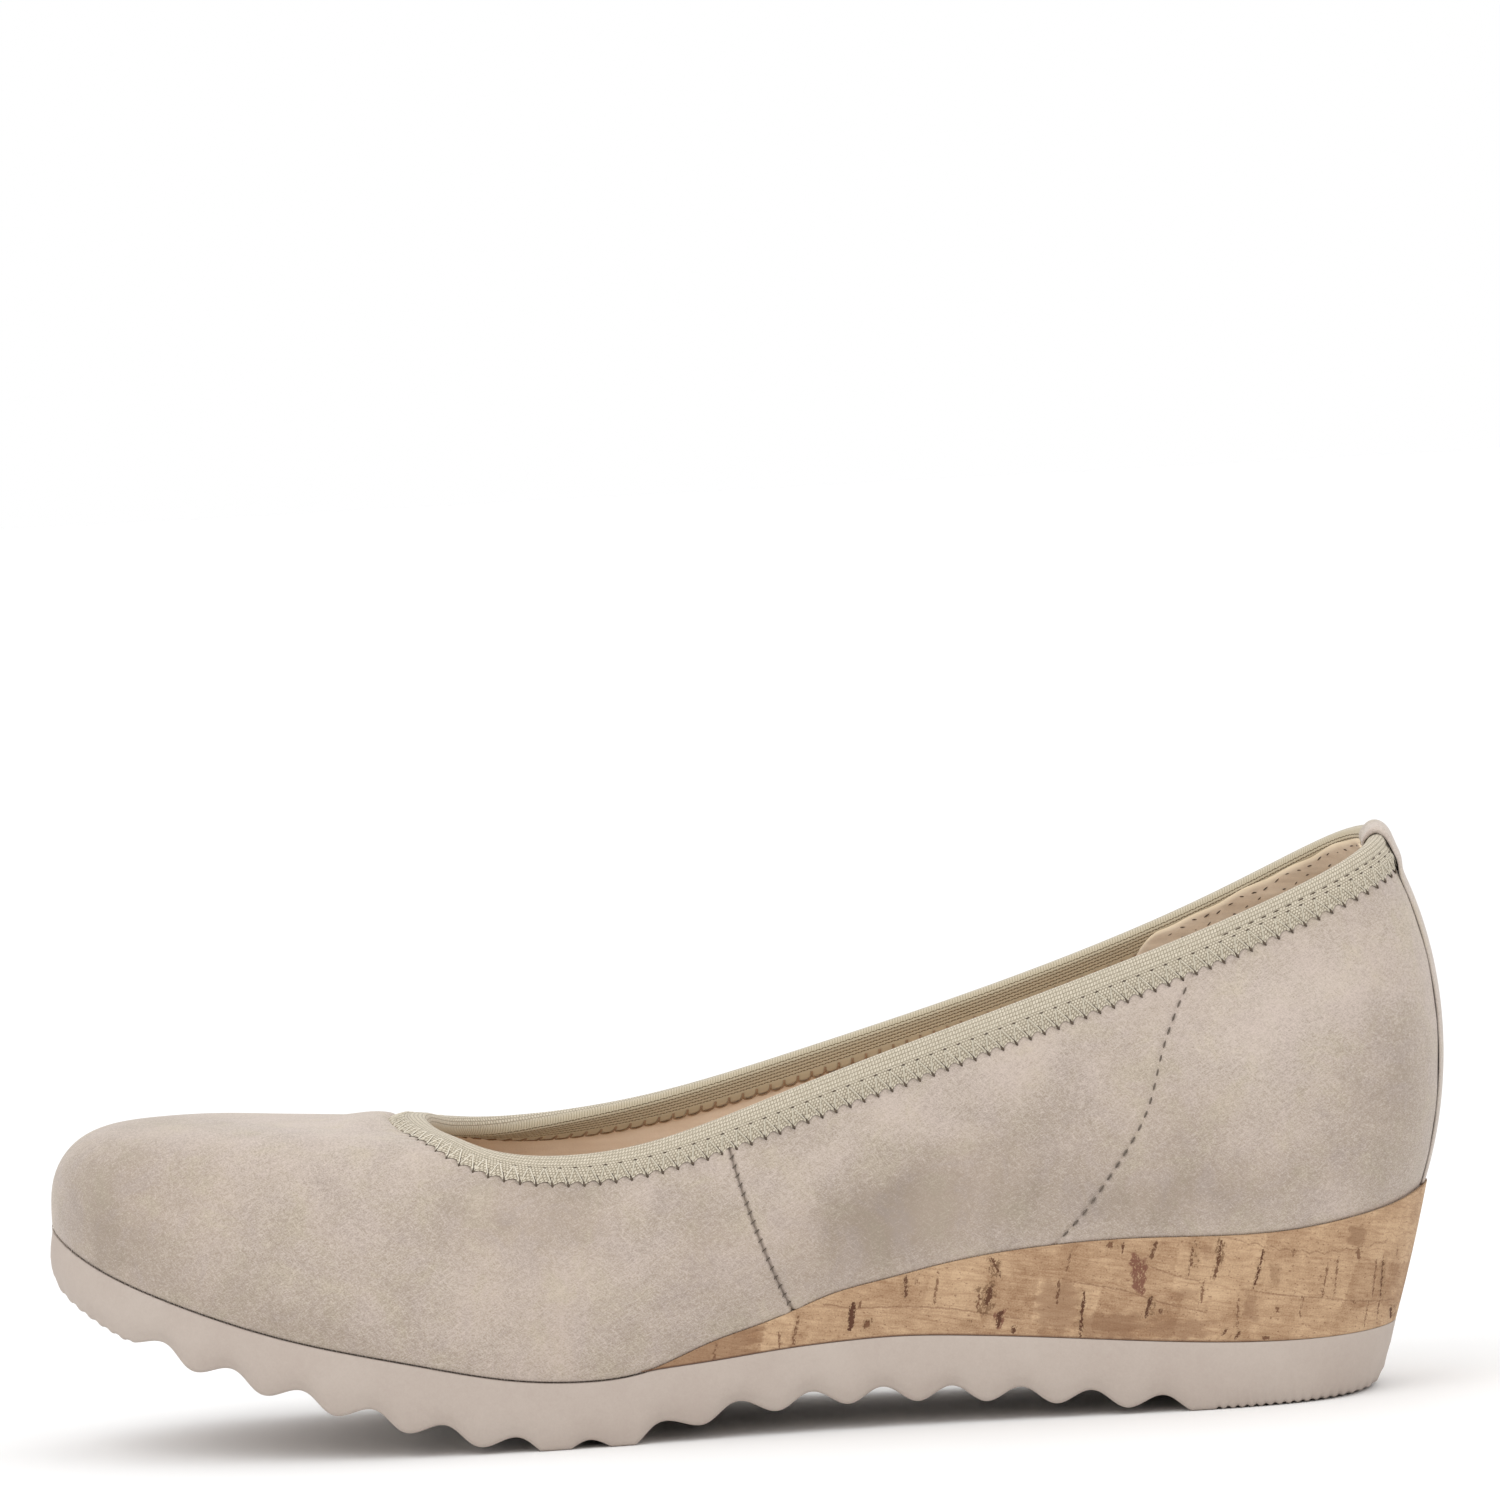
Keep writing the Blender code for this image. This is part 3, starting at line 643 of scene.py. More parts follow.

# %% [markdown]
# Lasting pulls soft hollows and ridges into the suede. Sewing sinks it along the seams and gathers it under
# the tape. Sculpting could not be run again, so the relief is a height worked out at every point. The hollows
# are listed: where on the side, how long and wide, which way they lean, how deep.

# %% The suede upper: relief
STITCH_PITCH = 2.6        # of the zigzag that sews the tape on
PUCKER = 0.15             # height of the gathers between its stitches
FRONT_RISE = 1.55         # swell of the suede in front of the throat
FRONT_TURNS = (2.50, 2.95)     # turns between which the side goes over into the front of the throat
VAMP_GROOVE = (0.75, 0.24, 0.22, 1.25, 0.85)      # depth and width, then the lips' height, distance and width
COUNTER_GROOVE = (0.26, 0.55, 0.07, 1.6, 1.0)
OUTER_HOLLOWS = (   # a row is x, z, length, width, lean in degrees and depth; minus is a ridge
    (31.0, 41.0, 17.0, 4.6, 20, 0.85),
    (13.0, 44.0, 8.0, 4.5, 35, -0.35),
    (44.0, 53.0, 16.0, 6.0, 14, -0.30),
    (72.0, 38.0, 15.0, 3.6, 6, 0.40),
    (60.0, 45.0, 7.0, 5.0, 60, 0.30),
    (-7.0, 35.0, 9.0, 5.0, 62, 0.35),
    (-32.0, 33.0, 14.0, 6.0, -8, -0.25),
    (112.0, 70.0, 13.0, 3.2, 82, 0.32),
    (104.0, 55.0, 10.0, 5.0, 70, 0.25),
    (90.0, 62.0, 12.0, 6.0, 40, -0.25),
    (-88.0, 44.0, 12.0, 7.0, -30, 0.20),
)
INNER_HOLLOWS = (
    (24.0, 42.0, 18.0, 4.8, 16, 0.80),
    (2.0, 44.0, 9.0, 5.0, 40, -0.30),
    (50.0, 52.0, 15.0, 6.0, 12, -0.28),
    (76.0, 40.0, 13.0, 4.0, 10, 0.36),
    (-14.0, 34.0, 10.0, 5.0, 58, 0.32),
    (108.0, 66.0, 12.0, 3.4, 84, 0.30),
    (-80.0, 42.0, 12.0, 7.0, -25, 0.20),
)


def side_turn(q):
    """Turn counted from the heel, on either side of the shoe."""
    return np.minimum(q, TAU - q)


def from_line(q, share, rows):
    """Distance from a cut line, on either side of the shoe, in millimetres along the wall."""
    line = cut_line(rows, share)
    return (side_turn(q) - line) * FOOT_LENGTH / 2 * np.sin(line)


def at_front(q):
    """1 round the front of the throat, 0 along the sides."""
    return step(*FRONT_TURNS, side_turn(q))


def bell(x, width):
    """Bell curve, 1 in the middle and falling with the square of the distance."""
    return np.exp(-(x / width) ** 2)


def hollows(point, rows):
    """Sum of soft bells: each falls off along its lean over its length and across it over its width."""
    total = np.zeros(point.shape[:-1])
    for x, z, long, wide, lean, depth in rows:
        a = math.radians(lean)
        dx, dz = point[..., 0] - x, point[..., 2] - z
        along, across = dx * math.cos(a) + dz * math.sin(a), dz * math.cos(a) - dx * math.sin(a)
        total += depth * bell(along, long) * bell(across, wide)
    return total


def groove(off, depth, width, lip, lip_off, lip_width):
    """Height across a seam: a bell sunk along the line, and a low raised one on either side."""
    return lip * bell(np.abs(off) - lip_off, lip_width) - depth * bell(off, width)


def suede_relief(q, share, depth, point):
    """Height of the suede off the plain wall: seams sunk between raised lips, puckers under the tape that die
    away downwards, a soft rise in front of the throat, hollows of lasting, and the roll of the cut edge."""
    seam = groove(from_line(q, share, VAMP_LINE), *VAMP_GROOVE)
    dash = groove(from_line(q, share, COUNTER_LINE), *COUNTER_GROOVE)
    wave = np.cos(TAU * rim_place(q) / STITCH_PITCH)
    past = depth - TAPE_OUTSIDE
    front = at_front(q)
    pucker = -PUCKER * wave * np.exp(-np.abs(past - 0.4) / 1.6) - 0.04 * bell(past - 0.2, 1.3)
    pucker = pucker * (1 - 0.8 * front)
    rise = FRONT_RISE * front * step(-1.6, 1.6, past) * bell(np.maximum(past - 2.5, 0), 6.5)
    outer = point[..., 1] < 0
    sunk = np.where(outer, hollows(point, OUTER_HOLLOWS), hollows(point, INNER_HOLLOWS))
    to_edge = rib_length(q) - depth
    clear = step(6, 14, depth) * step(0, 7, to_edge)     # hollows stay clear of tape and edge
    x, z = point[..., 0], point[..., 2]
    soft = 0.10 * np.sin(0.21 * x + 0.34 * z) * np.sin(0.17 * z - 0.09 * x)
    roll = np.clip(1 - to_edge / EDGE_ROLL, 0, 1)
    return seam + dash + pucker + rise + (soft - sunk) * clear - 0.15 * roll ** 3, seam, sunk * clear


plain = on_wall(suede_q, depth, 0.0)
relief, seam_cut, sunk = suede_relief(suede_q, share, depth, plain)
outside = on_wall(suede_q, depth, relief)

# %% [markdown]
# Outside and inside are two grids over the same columns, joined along the collar and along the cut edge. The
# result is one closed skin of suede, a millimetre thick, with the lining as a skin of its own inside it.

# %% The suede upper: skin
SUEDE_THICK = 1.0
INSIDE_ROWS = 8
EDGE_SHADE, SEAM_SHADE = 0.42, 0.31     # painted shade at the cut edge, in the gap over sole and cork, and in the seams' grooves
NO_TONE = np.zeros((INSIDE_ROWS, len(col_part)))     # the inside of the skin is hidden
pick = np.linspace(len(row_mm) - 1, 0, INSIDE_ROWS).astype(int)
inside = on_wall(suede_q[pick], depth[pick], np.minimum(relief[pick], 0) - SUEDE_THICK)
skin = np.concatenate([outside, inside])
# Painted shade: the last fifth of a millimetre before the cut edge and the seam grooves are darkened.
near_edge = step(0.22, 0.0, rib_length(suede_q) - depth)
edge = EDGE_SHADE * near_edge + SEAM_SHADE * np.clip(-seam_cut / 0.85, 0, 1) ** 2
edge = np.concatenate([edge, NO_TONE])
SHADE_AND_NAP_PATCHES = (   # rows as for the hollows: painted shade (plus) or painted highlight (minus), partly the nap's own tone
    (28.0, 38.5, 30.0, 10.0, 18, 0.20),
    (30.0, 35.0, 16.0, 7.0, 20, 0.16),
    (76.0, 38.0, 26.0, 6.0, 4, 0.22),
    (114.0, 52.0, 14.0, 8.0, 80, 0.14),
    (77.0, 52.0, 9.0, 7.0, 30, 0.14),
    (-113.0, 44.0, 17.0, 14.0, 60, 0.24),
    (-37.0, 40.0, 17.0, 9.0, -12, 0.29),
    (-70.0, 56.0, 40.0, 6.0, -6, -0.07),
    (-52.0, 46.0, 36.0, 6.0, -8, -0.04),
    (-8.0, 35.0, 7.0, 6.0, 60, 0.12),
    (-88.0, 27.0, 20.0, 4.5, -20, 0.13),
    (46.0, 64.0, 34.0, 6.0, 24, -0.12),
    (107.0, 74.0, 10.0, 9.0, 60, -0.10),
    (92.0, 66.0, 16.0, 10.0, 30, -0.14),
    (-20.0, 33.0, 24.0, 6.0, 0, -0.08),
)
less_inside = 1 - 0.45 * step(-8.0, 8.0, plain[..., 1])     # the patches are weaker on the inner side
# Painted shade and light: the patches, then darker in the hollows and lighter on the ridges.
tone = -hollows(plain, SHADE_AND_NAP_PATCHES) * less_inside - 0.10 * np.clip(sunk, -1, 1)
tone = np.concatenate([tone, NO_TONE])
faces = grid_faces(*skin.shape[:2], True, True)
upper = put("suede_upper", skin, [faces], suede, values={"edge": edge, "tone": tone})
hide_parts("upper")

# %% [markdown]
# The collar is bound with a woven elastic tape, folded over the edge and sewn through. It could be swept
# along a curve, but each stitch draws its edge, so the tape is a closed grid: its section is carried round
# the collar edge, rounded at the fold, thinner at its sewn edge, drawn in at each stitch.

# %% Elastic tape: section and band
TAPE_FACE = 1.0           # the cloth lies closer than its solid
THROAT_LIFT = 0.80        # and stands up a little at the front of the throat
TAPE_HEM = 4.4            # inside, the cloth ends short of its solid's edge
HEM_PULL = 0.28           # and is drawn up by this share round the throat
STITCH_HIGH = 3.0         # upper ends of the zigzag, below the collar edge
STITCH_LOW = 6.35         # lower ends, just past the tape
STITCHES = round(RIM_LENGTH / STITCH_PITCH)
PITCH = RIM_LENGTH / STITCHES
HEEL_ROW = 1.9            # straight row of stitches near the fold, round the heel
HEEL_TURNS = (0.80, 0.76)      # turns between which that row ends
HEM_TURNS = (2.1, 2.9)         # turns between which the hem is drawn up


def tape_face(depth, along, heel):
    """Height of the tape's face: full near the fold, dipped at the rows of needle holes, thin at the edge."""
    wave = np.cos(TAU * along / PITCH)
    thin = 0.76 * step(STITCH_HIGH, TAPE_OUTSIDE, depth)
    holes = 0.16 * bell(depth - STITCH_HIGH, 0.5) + 0.32 * heel * bell(depth - HEEL_ROW, 0.55)
    lifted = TAPE_FACE + THROAT_LIFT * at_front(turn_of(along))
    return lifted - thin - holes - 0.06 * wave * step(4.2, TAPE_OUTSIDE, depth)


def round_heel(q):
    """1 on the heel side of the counter lines, 0 in front of them."""
    return step(*HEEL_TURNS, side_turn(q))


def hem_share(q):
    """Share of its full depth that the inside edge of the tape reaches: less round the throat."""
    return 1 - HEM_PULL * step(*HEM_TURNS, side_turn(q))


IN_FACE = -WALL - 0.8     # height of the tape's face inside the shoe
UNDER = 0.12              # gap between the tape's back and the wall
FOLD_TOP = 0.3            # depth at which the tape starts to fold over
FOLD_RISE = 1.35          # and its rise from there over the collar edge


def inside_face(depth):
    """Height of the tape's face inside the shoe: thinner towards its hem."""
    return IN_FACE + 0.30 * step(2.8, TAPE_HEM, depth)


tape_cols = STITCHES * 8
tape_along = np.arange(tape_cols) * RIM_LENGTH / tape_cols
tape_q = turn_of(tape_along)
heel = round_heel(tape_q)
hem = hem_share(tape_q)
up_front = THROAT_LIFT * at_front(tape_q)
pull = 0.75 * (0.5 + 0.5 * np.cos(TAU * tape_along / PITCH)) ** 1.5 - 0.36   # each stitch draws the edge down
edge_face = tape_face(TAPE_OUTSIDE, tape_along, heel)
half = (TAPE_FACE - IN_FACE) / 2
LIP = ((0.06, 0.20), (0.10, 0.60), (0.02, 0.92))     # the rounded edge: past the edge, share of its height
out_depth = np.linspace(TAPE_OUTSIDE, FOLD_TOP, 19)[1:]
fold = np.linspace(0, math.pi, 11)[1:-1]
in_depth = np.linspace(FOLD_TOP, TAPE_HEM, 11)
rows = [(TAPE_OUTSIDE + low + pull, GAP / 2 + part * (edge_face - GAP / 2)) for low, part in LIP]
rows += [(d + pull * step(4.3, TAPE_OUTSIDE, d), tape_face(d, tape_along, heel)) for d in out_depth]
rows += [(FOLD_TOP - FOLD_RISE * math.sin(a), TAPE_FACE - half + half * math.cos(a) + up_front) for a in fold]
rows += [(d * hem, inside_face(d) + up_front * step(3.0, FOLD_TOP, d)) for d in in_depth]
rows += [((TAPE_HEM + 0.1) * hem, IN_FACE + 0.55)]
rows += [(d * hem, -WALL - UNDER) for d in (TAPE_HEM, 2.6, 0.2)]
rows += [(-0.25, -WALL / 2)]
rows += [(d, UNDER) for d in (0.2, 2.6, 5.4)]
tape_depth, tape_height = (np.stack([np.broadcast_to(r[k], tape_cols) for r in rows]) for k in (0, 1))
tape_points = on_wall(tape_q, tape_depth, tape_height)
tape_across = run_along(tape_points[:, tape_cols // 3])
faces = grid_faces(len(rows), tape_cols, True, True)
rr, cc = grid_corners(len(rows), tape_cols, True, True)
tape_uv = np.stack([cc * RIM_LENGTH / tape_cols, np.append(tape_across, tape_across[-1] + 1.0)[rr]], -1)
FOLD_AT = float(tape_across[len(LIP) + len(out_depth) + len(fold) // 2])
print(f"tape {FOLD_AT:.1f} mm up to its fold, {STITCHES} stitches of {PITCH:.2f} mm")

# %% [markdown]
# The weave is drawn on the tape's own flat map: along it in one direction, across it in the other. Every
# second row of cells is moved by half a cell. Each cell is a small pillow of yarn with a dark slot between
# it and the next row. Inside the shoe the yarns run straight over the fold as fine ribs. Yarns as meshes
# would take a million triangles, so colour and relief in the finish stand for them.

# %% Elastic tape: weave
UPPER_CELL, LOWER_CELL = (0.56, 0.72), (0.56, 0.52)     # size of a cell along and across the tape
DASH_CELL = (1.15, 0.62)                               # and of the dashes inside the shoe
RIB_PITCH = 0.50                                       # of the ribs over the fold
LOWER_PART = TAPE_OUTSIDE - STITCH_HIGH + 0.4          # the sewn part of the tape, from its edge upwards


def weave_finish():
    """Outside, brick pillows, smaller ones below the dashes: dark where a cell meets its neighbours. Inside,
    ribs over the fold, then rows of dashes, then the turned edge."""
    f = Finish("elastic", Sheen_Weight=0.15, Specular_IOR_Level=0.2)
    u, v = f.parts(f.flat())
    wander = f.noise(f.place(), 0.9, 2.0)
    fuzz = f.noise(f.place(), 3.0, 3.0)

    def off_middle(count):
        """How far a place is from the middle of its cell: 0 there, 1 at the cell's edge."""
        return (count.math("FRACT") - 0.5).math("ABSOLUTE") * 2

    def bricks(size, lean):
        """The same along and across bricks of a size: each second row is moved by half a brick."""
        along, across = size
        row = v / across
        half_brick = row.math("FLOOR").math("MODULO", 2.0) * 0.5
        x = u / along + half_brick + (wander - 0.5) * 0.35 + v * lean
        return off_middle(x), off_middle(row + (wander - 0.5) * 0.15)

    upper_x, upper_y = bricks(UPPER_CELL, 0.25)
    lower_x, lower_y = bricks(LOWER_CELL, -0.25)
    upper_dark = (upper_x.step(0.40, 1.0) * 0.66).math("MAXIMUM", upper_y.step(0.56, 1.0) * 0.72)
    lower_dark = (lower_x.step(0.40, 1.0) * 0.80).math("MAXIMUM", lower_y.step(0.53, 1.0) * 0.80)
    sewn_part = v.step(LOWER_PART + 0.1, LOWER_PART - 0.1)
    out_dark = upper_dark * (1 - sewn_part) + lower_dark * sewn_part
    past = v - FOLD_AT
    inner = past.step(-0.3, 0.5)
    rib = off_middle(u / RIB_PITCH)
    dash_x, dash_y = bricks(DASH_CELL, 0.0)
    rows = past.step(1.3, 1.6)
    dash = dash_y.step(0.40, 0.80) * (1 - dash_x.step(0.60, 0.90))
    in_dark = rib.step(0.45, 1.0) * 0.50 * (1 - rows) + dash * 0.95 * rows * (1 - past.step(4.8, 5.2))
    dark = out_dark * (1 - inner) + in_dark * inner
    yarn = f.mix(fuzz.step(0.25, 0.75), shade_of(184, 174, 154), shade_of(217, 207, 189))
    yarn = f.coats(
        yarn,
        (past.step(-0.8, 1.2) * 0.85, (187, 175, 150)),
        (past.step(1.2, 4.2) * 0.62, (184, 167, 139)),
    )
    colour = f.mix(dark, yarn, f.mix(inner, shade_of(116, 105, 86), shade_of(96, 80, 56)))
    f.bump((1 - dark) * 0.8 + fuzz * 0.2, 0.12, 0.7)
    return f.done(colour, fuzz * 0.1 + 0.8)


elastic = weave_finish()
tape = put("elastic_tape", tape_points, [faces], elastic, uv=[tape_uv])
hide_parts("collar_binding")

# %% [markdown]
# The tape is sewn with a zigzag: from each needle hole in the suede one leg of thread goes straight up the
# tape and one leans over to the next hole. A curve object for each leg would be slow, so all legs are worked
# out together as short round threads. Along the front of the shoe the thread is paler.

# %% Stitches on the tape


def thread_finish(name, light, dark):
    """Twisted thread: a fine change of tone along it; the mesh says where the thread is paler."""
    f = Finish(name, Sheen_Weight=0.2, Specular_IOR_Level=0.3)
    twist = f.noise(f.place(), 6.0, 2.0)
    colour = f.mix(twist.step(0.3, 0.7), dark, light)
    colour = f.coats(colour, (f.value("pale"), (224, 216, 200)))
    return f.done(colour, twist * 0.2 + 0.55)


tape_thread = thread_finish("tape_thread", shade_of(206, 198, 180), shade_of(168, 159, 140))
umber = thread_finish("umber_thread", shade_of(96, 80, 64), shade_of(60, 49, 39))
brown = thread_finish("brown_thread", shade_of(158, 128, 98), shade_of(122, 96, 70))
PALE_TURNS = (1.85, 2.15)      # turns between which the thread turns pale
LEG_RADIUS = 0.15
LEG_LEANS = (0.10, 1.10)       # in stitches, from the lower end of a leg to its upper end


def sewn(along, depth, height, radius):
    """Threads laid by their distance along the collar edge, depth below it and height off the wall."""
    return lay(turn_of(along), depth, height, radius)


def at_throat(along):
    """1 in front of the ball on either side, where the thread is pale, 0 behind it."""
    return step(*PALE_TURNS, side_turn(turn_of(along)))


hole = np.arange(STITCHES)[:, None] * PITCH
t = np.linspace(0, 1, 8)[None, :]
legs, pale = [], []
for lean in LEG_LEANS:
    along = hole + lean * PITCH * t
    depth_t = STITCH_LOW + (STITCH_HIGH - STITCH_LOW) * t
    face = tape_face(np.minimum(depth_t, TAPE_OUTSIDE), along, 0.0)
    face = face * step(STITCH_LOW + 0.5, TAPE_OUTSIDE - 0.2, depth_t)
    height = face + 0.10 * np.sin(math.pi * t) ** 0.6 - 0.10 * step(0.90, 1.0, t)
    fat = (LEG_RADIUS - 0.04 * np.abs(2 * t - 1)) * (1 - 0.22 * at_throat(hole))
    legs.append(sewn(along, depth_t, height, fat))
    paler_share = 0.15 + 0.75 * at_throat(along) * (1 - 0.75 * at_front(turn_of(along)))
    pale.append(np.repeat(paler_share.ravel(), 6))
points, faces = joined(legs)
put("zigzag_thread", points, faces, tape_thread, values={"pale": np.concatenate(pale)})

# %% [markdown]
# Where the needle goes through the suede the dark bobbin thread shows as a small fork: two thin prongs on the
# tape's edge, one leaning, and a tail in the suede. At the throat it is drawn under and hardly shows. At the
# upper holes it is a dark dash. Round the heel a straight row runs under the fold.

# %% Bobbin thread
HEEL_PITCH = 2.45         # of the straight row round the heel
HEEL_START = 9.0          # its first stitch, from the back seam
PRONGS = ((1.00, 1.55, 0.14), (0.05, 1.30, 0.13))     # start along, height and radius
DASH_RADIUS, TAIL_RADIUS = 0.15, 0.27
t = np.linspace(0, 1, 6)[None, :]
full = np.array([0.35, 0.85, 1.0, 0.9, 0.6, 0.15])[None, :]        # thickness along a dash
thicken = np.array([0.25, 0.45, 0.65, 0.85, 1.0, 0.9])[None, :]    # and along a prong
hole_turn = side_turn(turn_of(hole))
kept = hole[step(2.40, 2.55, hole_turn)[:, 0] < 0.96]
shown = step(2.55, 1.90, side_turn(turn_of(kept)))
bits = []
for start, rise, fat in PRONGS:
    along = kept + 0.05 + start * (1 - t) ** 1.1
    depth_t = STITCH_LOW - rise * (1 - t)
    height = tape_face(np.minimum(depth_t, TAPE_OUTSIDE), along, 0.0) * step(6.7, 5.9, depth_t) + 0.05
    bits.append(sewn(along, depth_t, height, fat * thicken * (0.3 + 0.7 * shown)))
tail_height = 0.24 * (1 - t) - 0.10 * t
tail_fat = TAIL_RADIUS * full * (0.5 + 0.5 * shown)
bits.append(sewn(kept + 0.12 - 0.50 * t, 6.10 + 0.85 * t, tail_height, tail_fat))
dash_along = hole + 0.10 * PITCH + (t - 0.45) * 0.70
dash_depth = STITCH_HIGH - 0.12
dash_height = tape_face(dash_depth, dash_along, 0.0) + 0.03
bits.append(sewn(dash_along, dash_depth, dash_height, DASH_RADIUS * full * (1 - 0.9 * at_throat(hole))))
heel_reach = rim_place(cut_line(COUNTER_LINE, 0.05))
heel_stitch = HEEL_START + np.arange(int((heel_reach - HEEL_START) / HEEL_PITCH))[:, None] * HEEL_PITCH
row_along = np.concatenate([heel_stitch, RIM_LENGTH - heel_stitch]) + (t - 0.5) * 1.20
bits.append(sewn(row_along, HEEL_ROW, tape_face(HEEL_ROW, row_along, 1.0) + 0.02, DASH_RADIUS * full))
points, faces = joined(bits)
put("bobbin_thread", points, faces, umber)

# %% [markdown]
# Inside the shoe the same zigzag shows as brown loops that hang over the tape's hem.

# %% Loops inside
LOOP_RADIUS = 0.19
t = np.linspace(0, 1, 11)[None, :]
loop_along = hole + PITCH * (0.5 - 0.5 * np.cos(math.pi * t)) * 0.98
loop_depth = 3.20 + 1.75 * np.sin(math.pi * t) ** 0.7
loop_height = inside_face(loop_depth) - 0.08 + 0.45 * step(4.3, 5.0, loop_depth)
points, faces = sewn(loop_along, loop_depth * hem_share(turn_of(loop_along)), loop_height, LOOP_RADIUS)
put("inside_loops", points, faces, brown)

# %% [markdown]
# The two side seams and the dashed line round the heel. In the closed seam the stitches show as short ticks
# across the groove. The dashed line is a plain lockstitch lying in a shallow furrow. Both follow the same cut
# lines as the grooves, so thread and groove cannot come apart.

# %% Seam stitches on the suede


def along_line(rows, first, last, pitch, length, slant, side):
    """Short threads along a cut line: places at a pitch, each a straight bit of a length turned by a slant.
    Gives their turns, their depths and the place along each bit, from minus to plus a half."""
    shares = np.linspace(0, 1, 400)
    line = cut_line(rows, shares)
    run = run_along(on_wall(line, shares * rib_length(line), 0.0))
    start, end = np.interp([first, last], shares, run)
    at = np.arange(start, end, pitch)[:, None]
    s = np.linspace(-0.5, 0.5, 6)[None, :] * length
    here = np.interp(at + s * math.cos(slant), run, shares)
    turn = cut_line(rows, here)
    turn = turn + s * math.sin(slant) / (FOOT_LENGTH / 2 * np.sin(turn))
    turn = turn if side < 0 else TAU - turn
    return turn, here * rib_length(turn), s / length


# First and last share of the line, pitch, length and slant
TICKS = (0.19, 0.985, 1.75, 1.15, math.radians(64))
DASHES = (0.165, 0.985, 2.55, 1.5, 0.0)
TICK_FAT, DASH_FAT = 0.66, 0.84
fat = np.array([0.05, 0.16, 0.19, 0.19, 0.16, 0.05])[None, :]     # radius along a full stitch
bits = []
for side in (-1, 1):
    q, d, s = along_line(VAMP_LINE, *TICKS, side)
    height = -0.30 + 0.95 * (2 * np.abs(s)) ** 2 - 0.55 * step(0.38, 0.5, np.abs(s))
    bits.append(lay(q, d, height, fat * TICK_FAT))
    q, d, s = along_line(COUNTER_LINE, *DASHES, side)
    height = -0.10 - 0.22 * (2 * np.abs(s)) ** 3
    bits.append(lay(q, d, height, fat * DASH_FAT))
seam_thread = thread_finish("seam_thread", shade_of(112, 100, 88), shade_of(76, 66, 57))
points, faces = joined(bits)
put("seam_stitches", points, faces, seam_thread)

# %% [markdown]
# A strip of suede covers the back seam. It is sewn on over the tape and folded into the heel. Its path runs
# up the back, over the tape and the fold, and down inside. A thin rounded section is carried along it. The
# path is a table of depth and height on the wall, so the strip stays on tape and suede wherever they go.

# %% Back strip
STRIP_EDGE, STRIP_CROWN = 0.10, 0.36      # thickness at its edges, and how much more in the middle
STRIP_TONE = 0.06         # a little lighter than the upper
STRIP_ROWS, STRIP_COLS = 190, 25
back_long = float(rib_length(np.array(0.0)))
ON_TAPE = TAPE_FACE + 0.12
IN_TAPE = IN_FACE - 0.15
STRIP_COLUMNS = ("depth", "height")
STRIP_PATH = (
    (back_long - 1.0, 0.03), (back_long - 8.0, 0.05), (back_long * 0.75, 0.05), (back_long * 0.5, 0.05),
    (back_long * 0.3, 0.05), (TAPE_OUTSIDE + 3.6, 0.06), (TAPE_OUTSIDE + 1.2, 0.28),
    (TAPE_OUTSIDE - 0.6, 0.92), (3.4, ON_TAPE), (1.4, ON_TAPE + 0.05), (0.1, ON_TAPE - 0.12), (-1.05, 0.15),
    (-1.15, -1.2), (-0.4, IN_FACE - 0.02), (1.2, IN_TAPE), (4.0, IN_TAPE), (STRIP_INSIDE, IN_TAPE),
)
FOLD_ROW = 11             # the row of the path at the top of the fold
strip_table = columns(STRIP_PATH, STRIP_COLUMNS)
strip_run = run_along(np.array(STRIP_PATH))
strip_at = np.linspace(0, strip_run[-1], STRIP_ROWS)[:, None]
path_depth, path_height = (smooth(strip_run, strip_table[name], strip_at) for name in STRIP_COLUMNS)
way_d, way_h = np.gradient(path_depth, axis=0), np.gradient(path_height, axis=0)
size = np.hypot(way_d, way_h)
width = np.linspace(-1, 1, STRIP_COLS)
crown = STRIP_CROWN * (1 - np.abs(width) ** 8) ** 0.5 + STRIP_EDGE
loop_w = np.concatenate([width, width[::-1][1:-1]])
loop_t = np.concatenate([crown, np.zeros(STRIP_COLS - 2)])
per_radian = np.linalg.norm(shell(0.01, 0.5) - shell(-0.01, 0.5)) / 0.02
taper = 1 - 0.05 * step(strip_run[-1] - 12, strip_run[-1], strip_at)
strip_q = np.mod(loop_w * taper * STRIP_HALF / per_radian, TAU)
puffed = 1 + 1.3 * bell(strip_at - strip_run[FOLD_ROW], 3.0)     # the fold over the collar is plump
strip_thick = loop_t * puffed
strip_depth = path_depth + strip_thick * way_h / size
strip_height = path_height - strip_thick * way_d / size
strip_points = on_wall(strip_q, strip_depth, strip_height)
n = len(loop_w)
faces = grid_faces(STRIP_ROWS, n, False, True)
caps = [np.arange(n)[None, ::-1], np.arange(n)[None, :] + (STRIP_ROWS - 1) * n]
# Painted shade along the strip's two side edges, where it lies on the suede.
strip_edge_shade = np.broadcast_to(0.22 * step(0.95, 1.0, np.abs(loop_w)), strip_q.shape)
strip_suede = suede_finish("strip_suede", shade_of(201, 190, 180), shade_of(152, 140, 128))
strip = put("heel_strip", strip_points, [faces] + caps, strip_suede,
            values={"edge": strip_edge_shade, "tone": np.full(strip_q.shape, STRIP_TONE)})
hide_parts("back_strip")

# %% [markdown]
# Inside, the shell is lined with thin tan leather. Leather has a fine pebble grain and a soft gloss. Cloth
# simulation would only find the wall again, so the lining is a thin skin laid on it.

# %% Lining


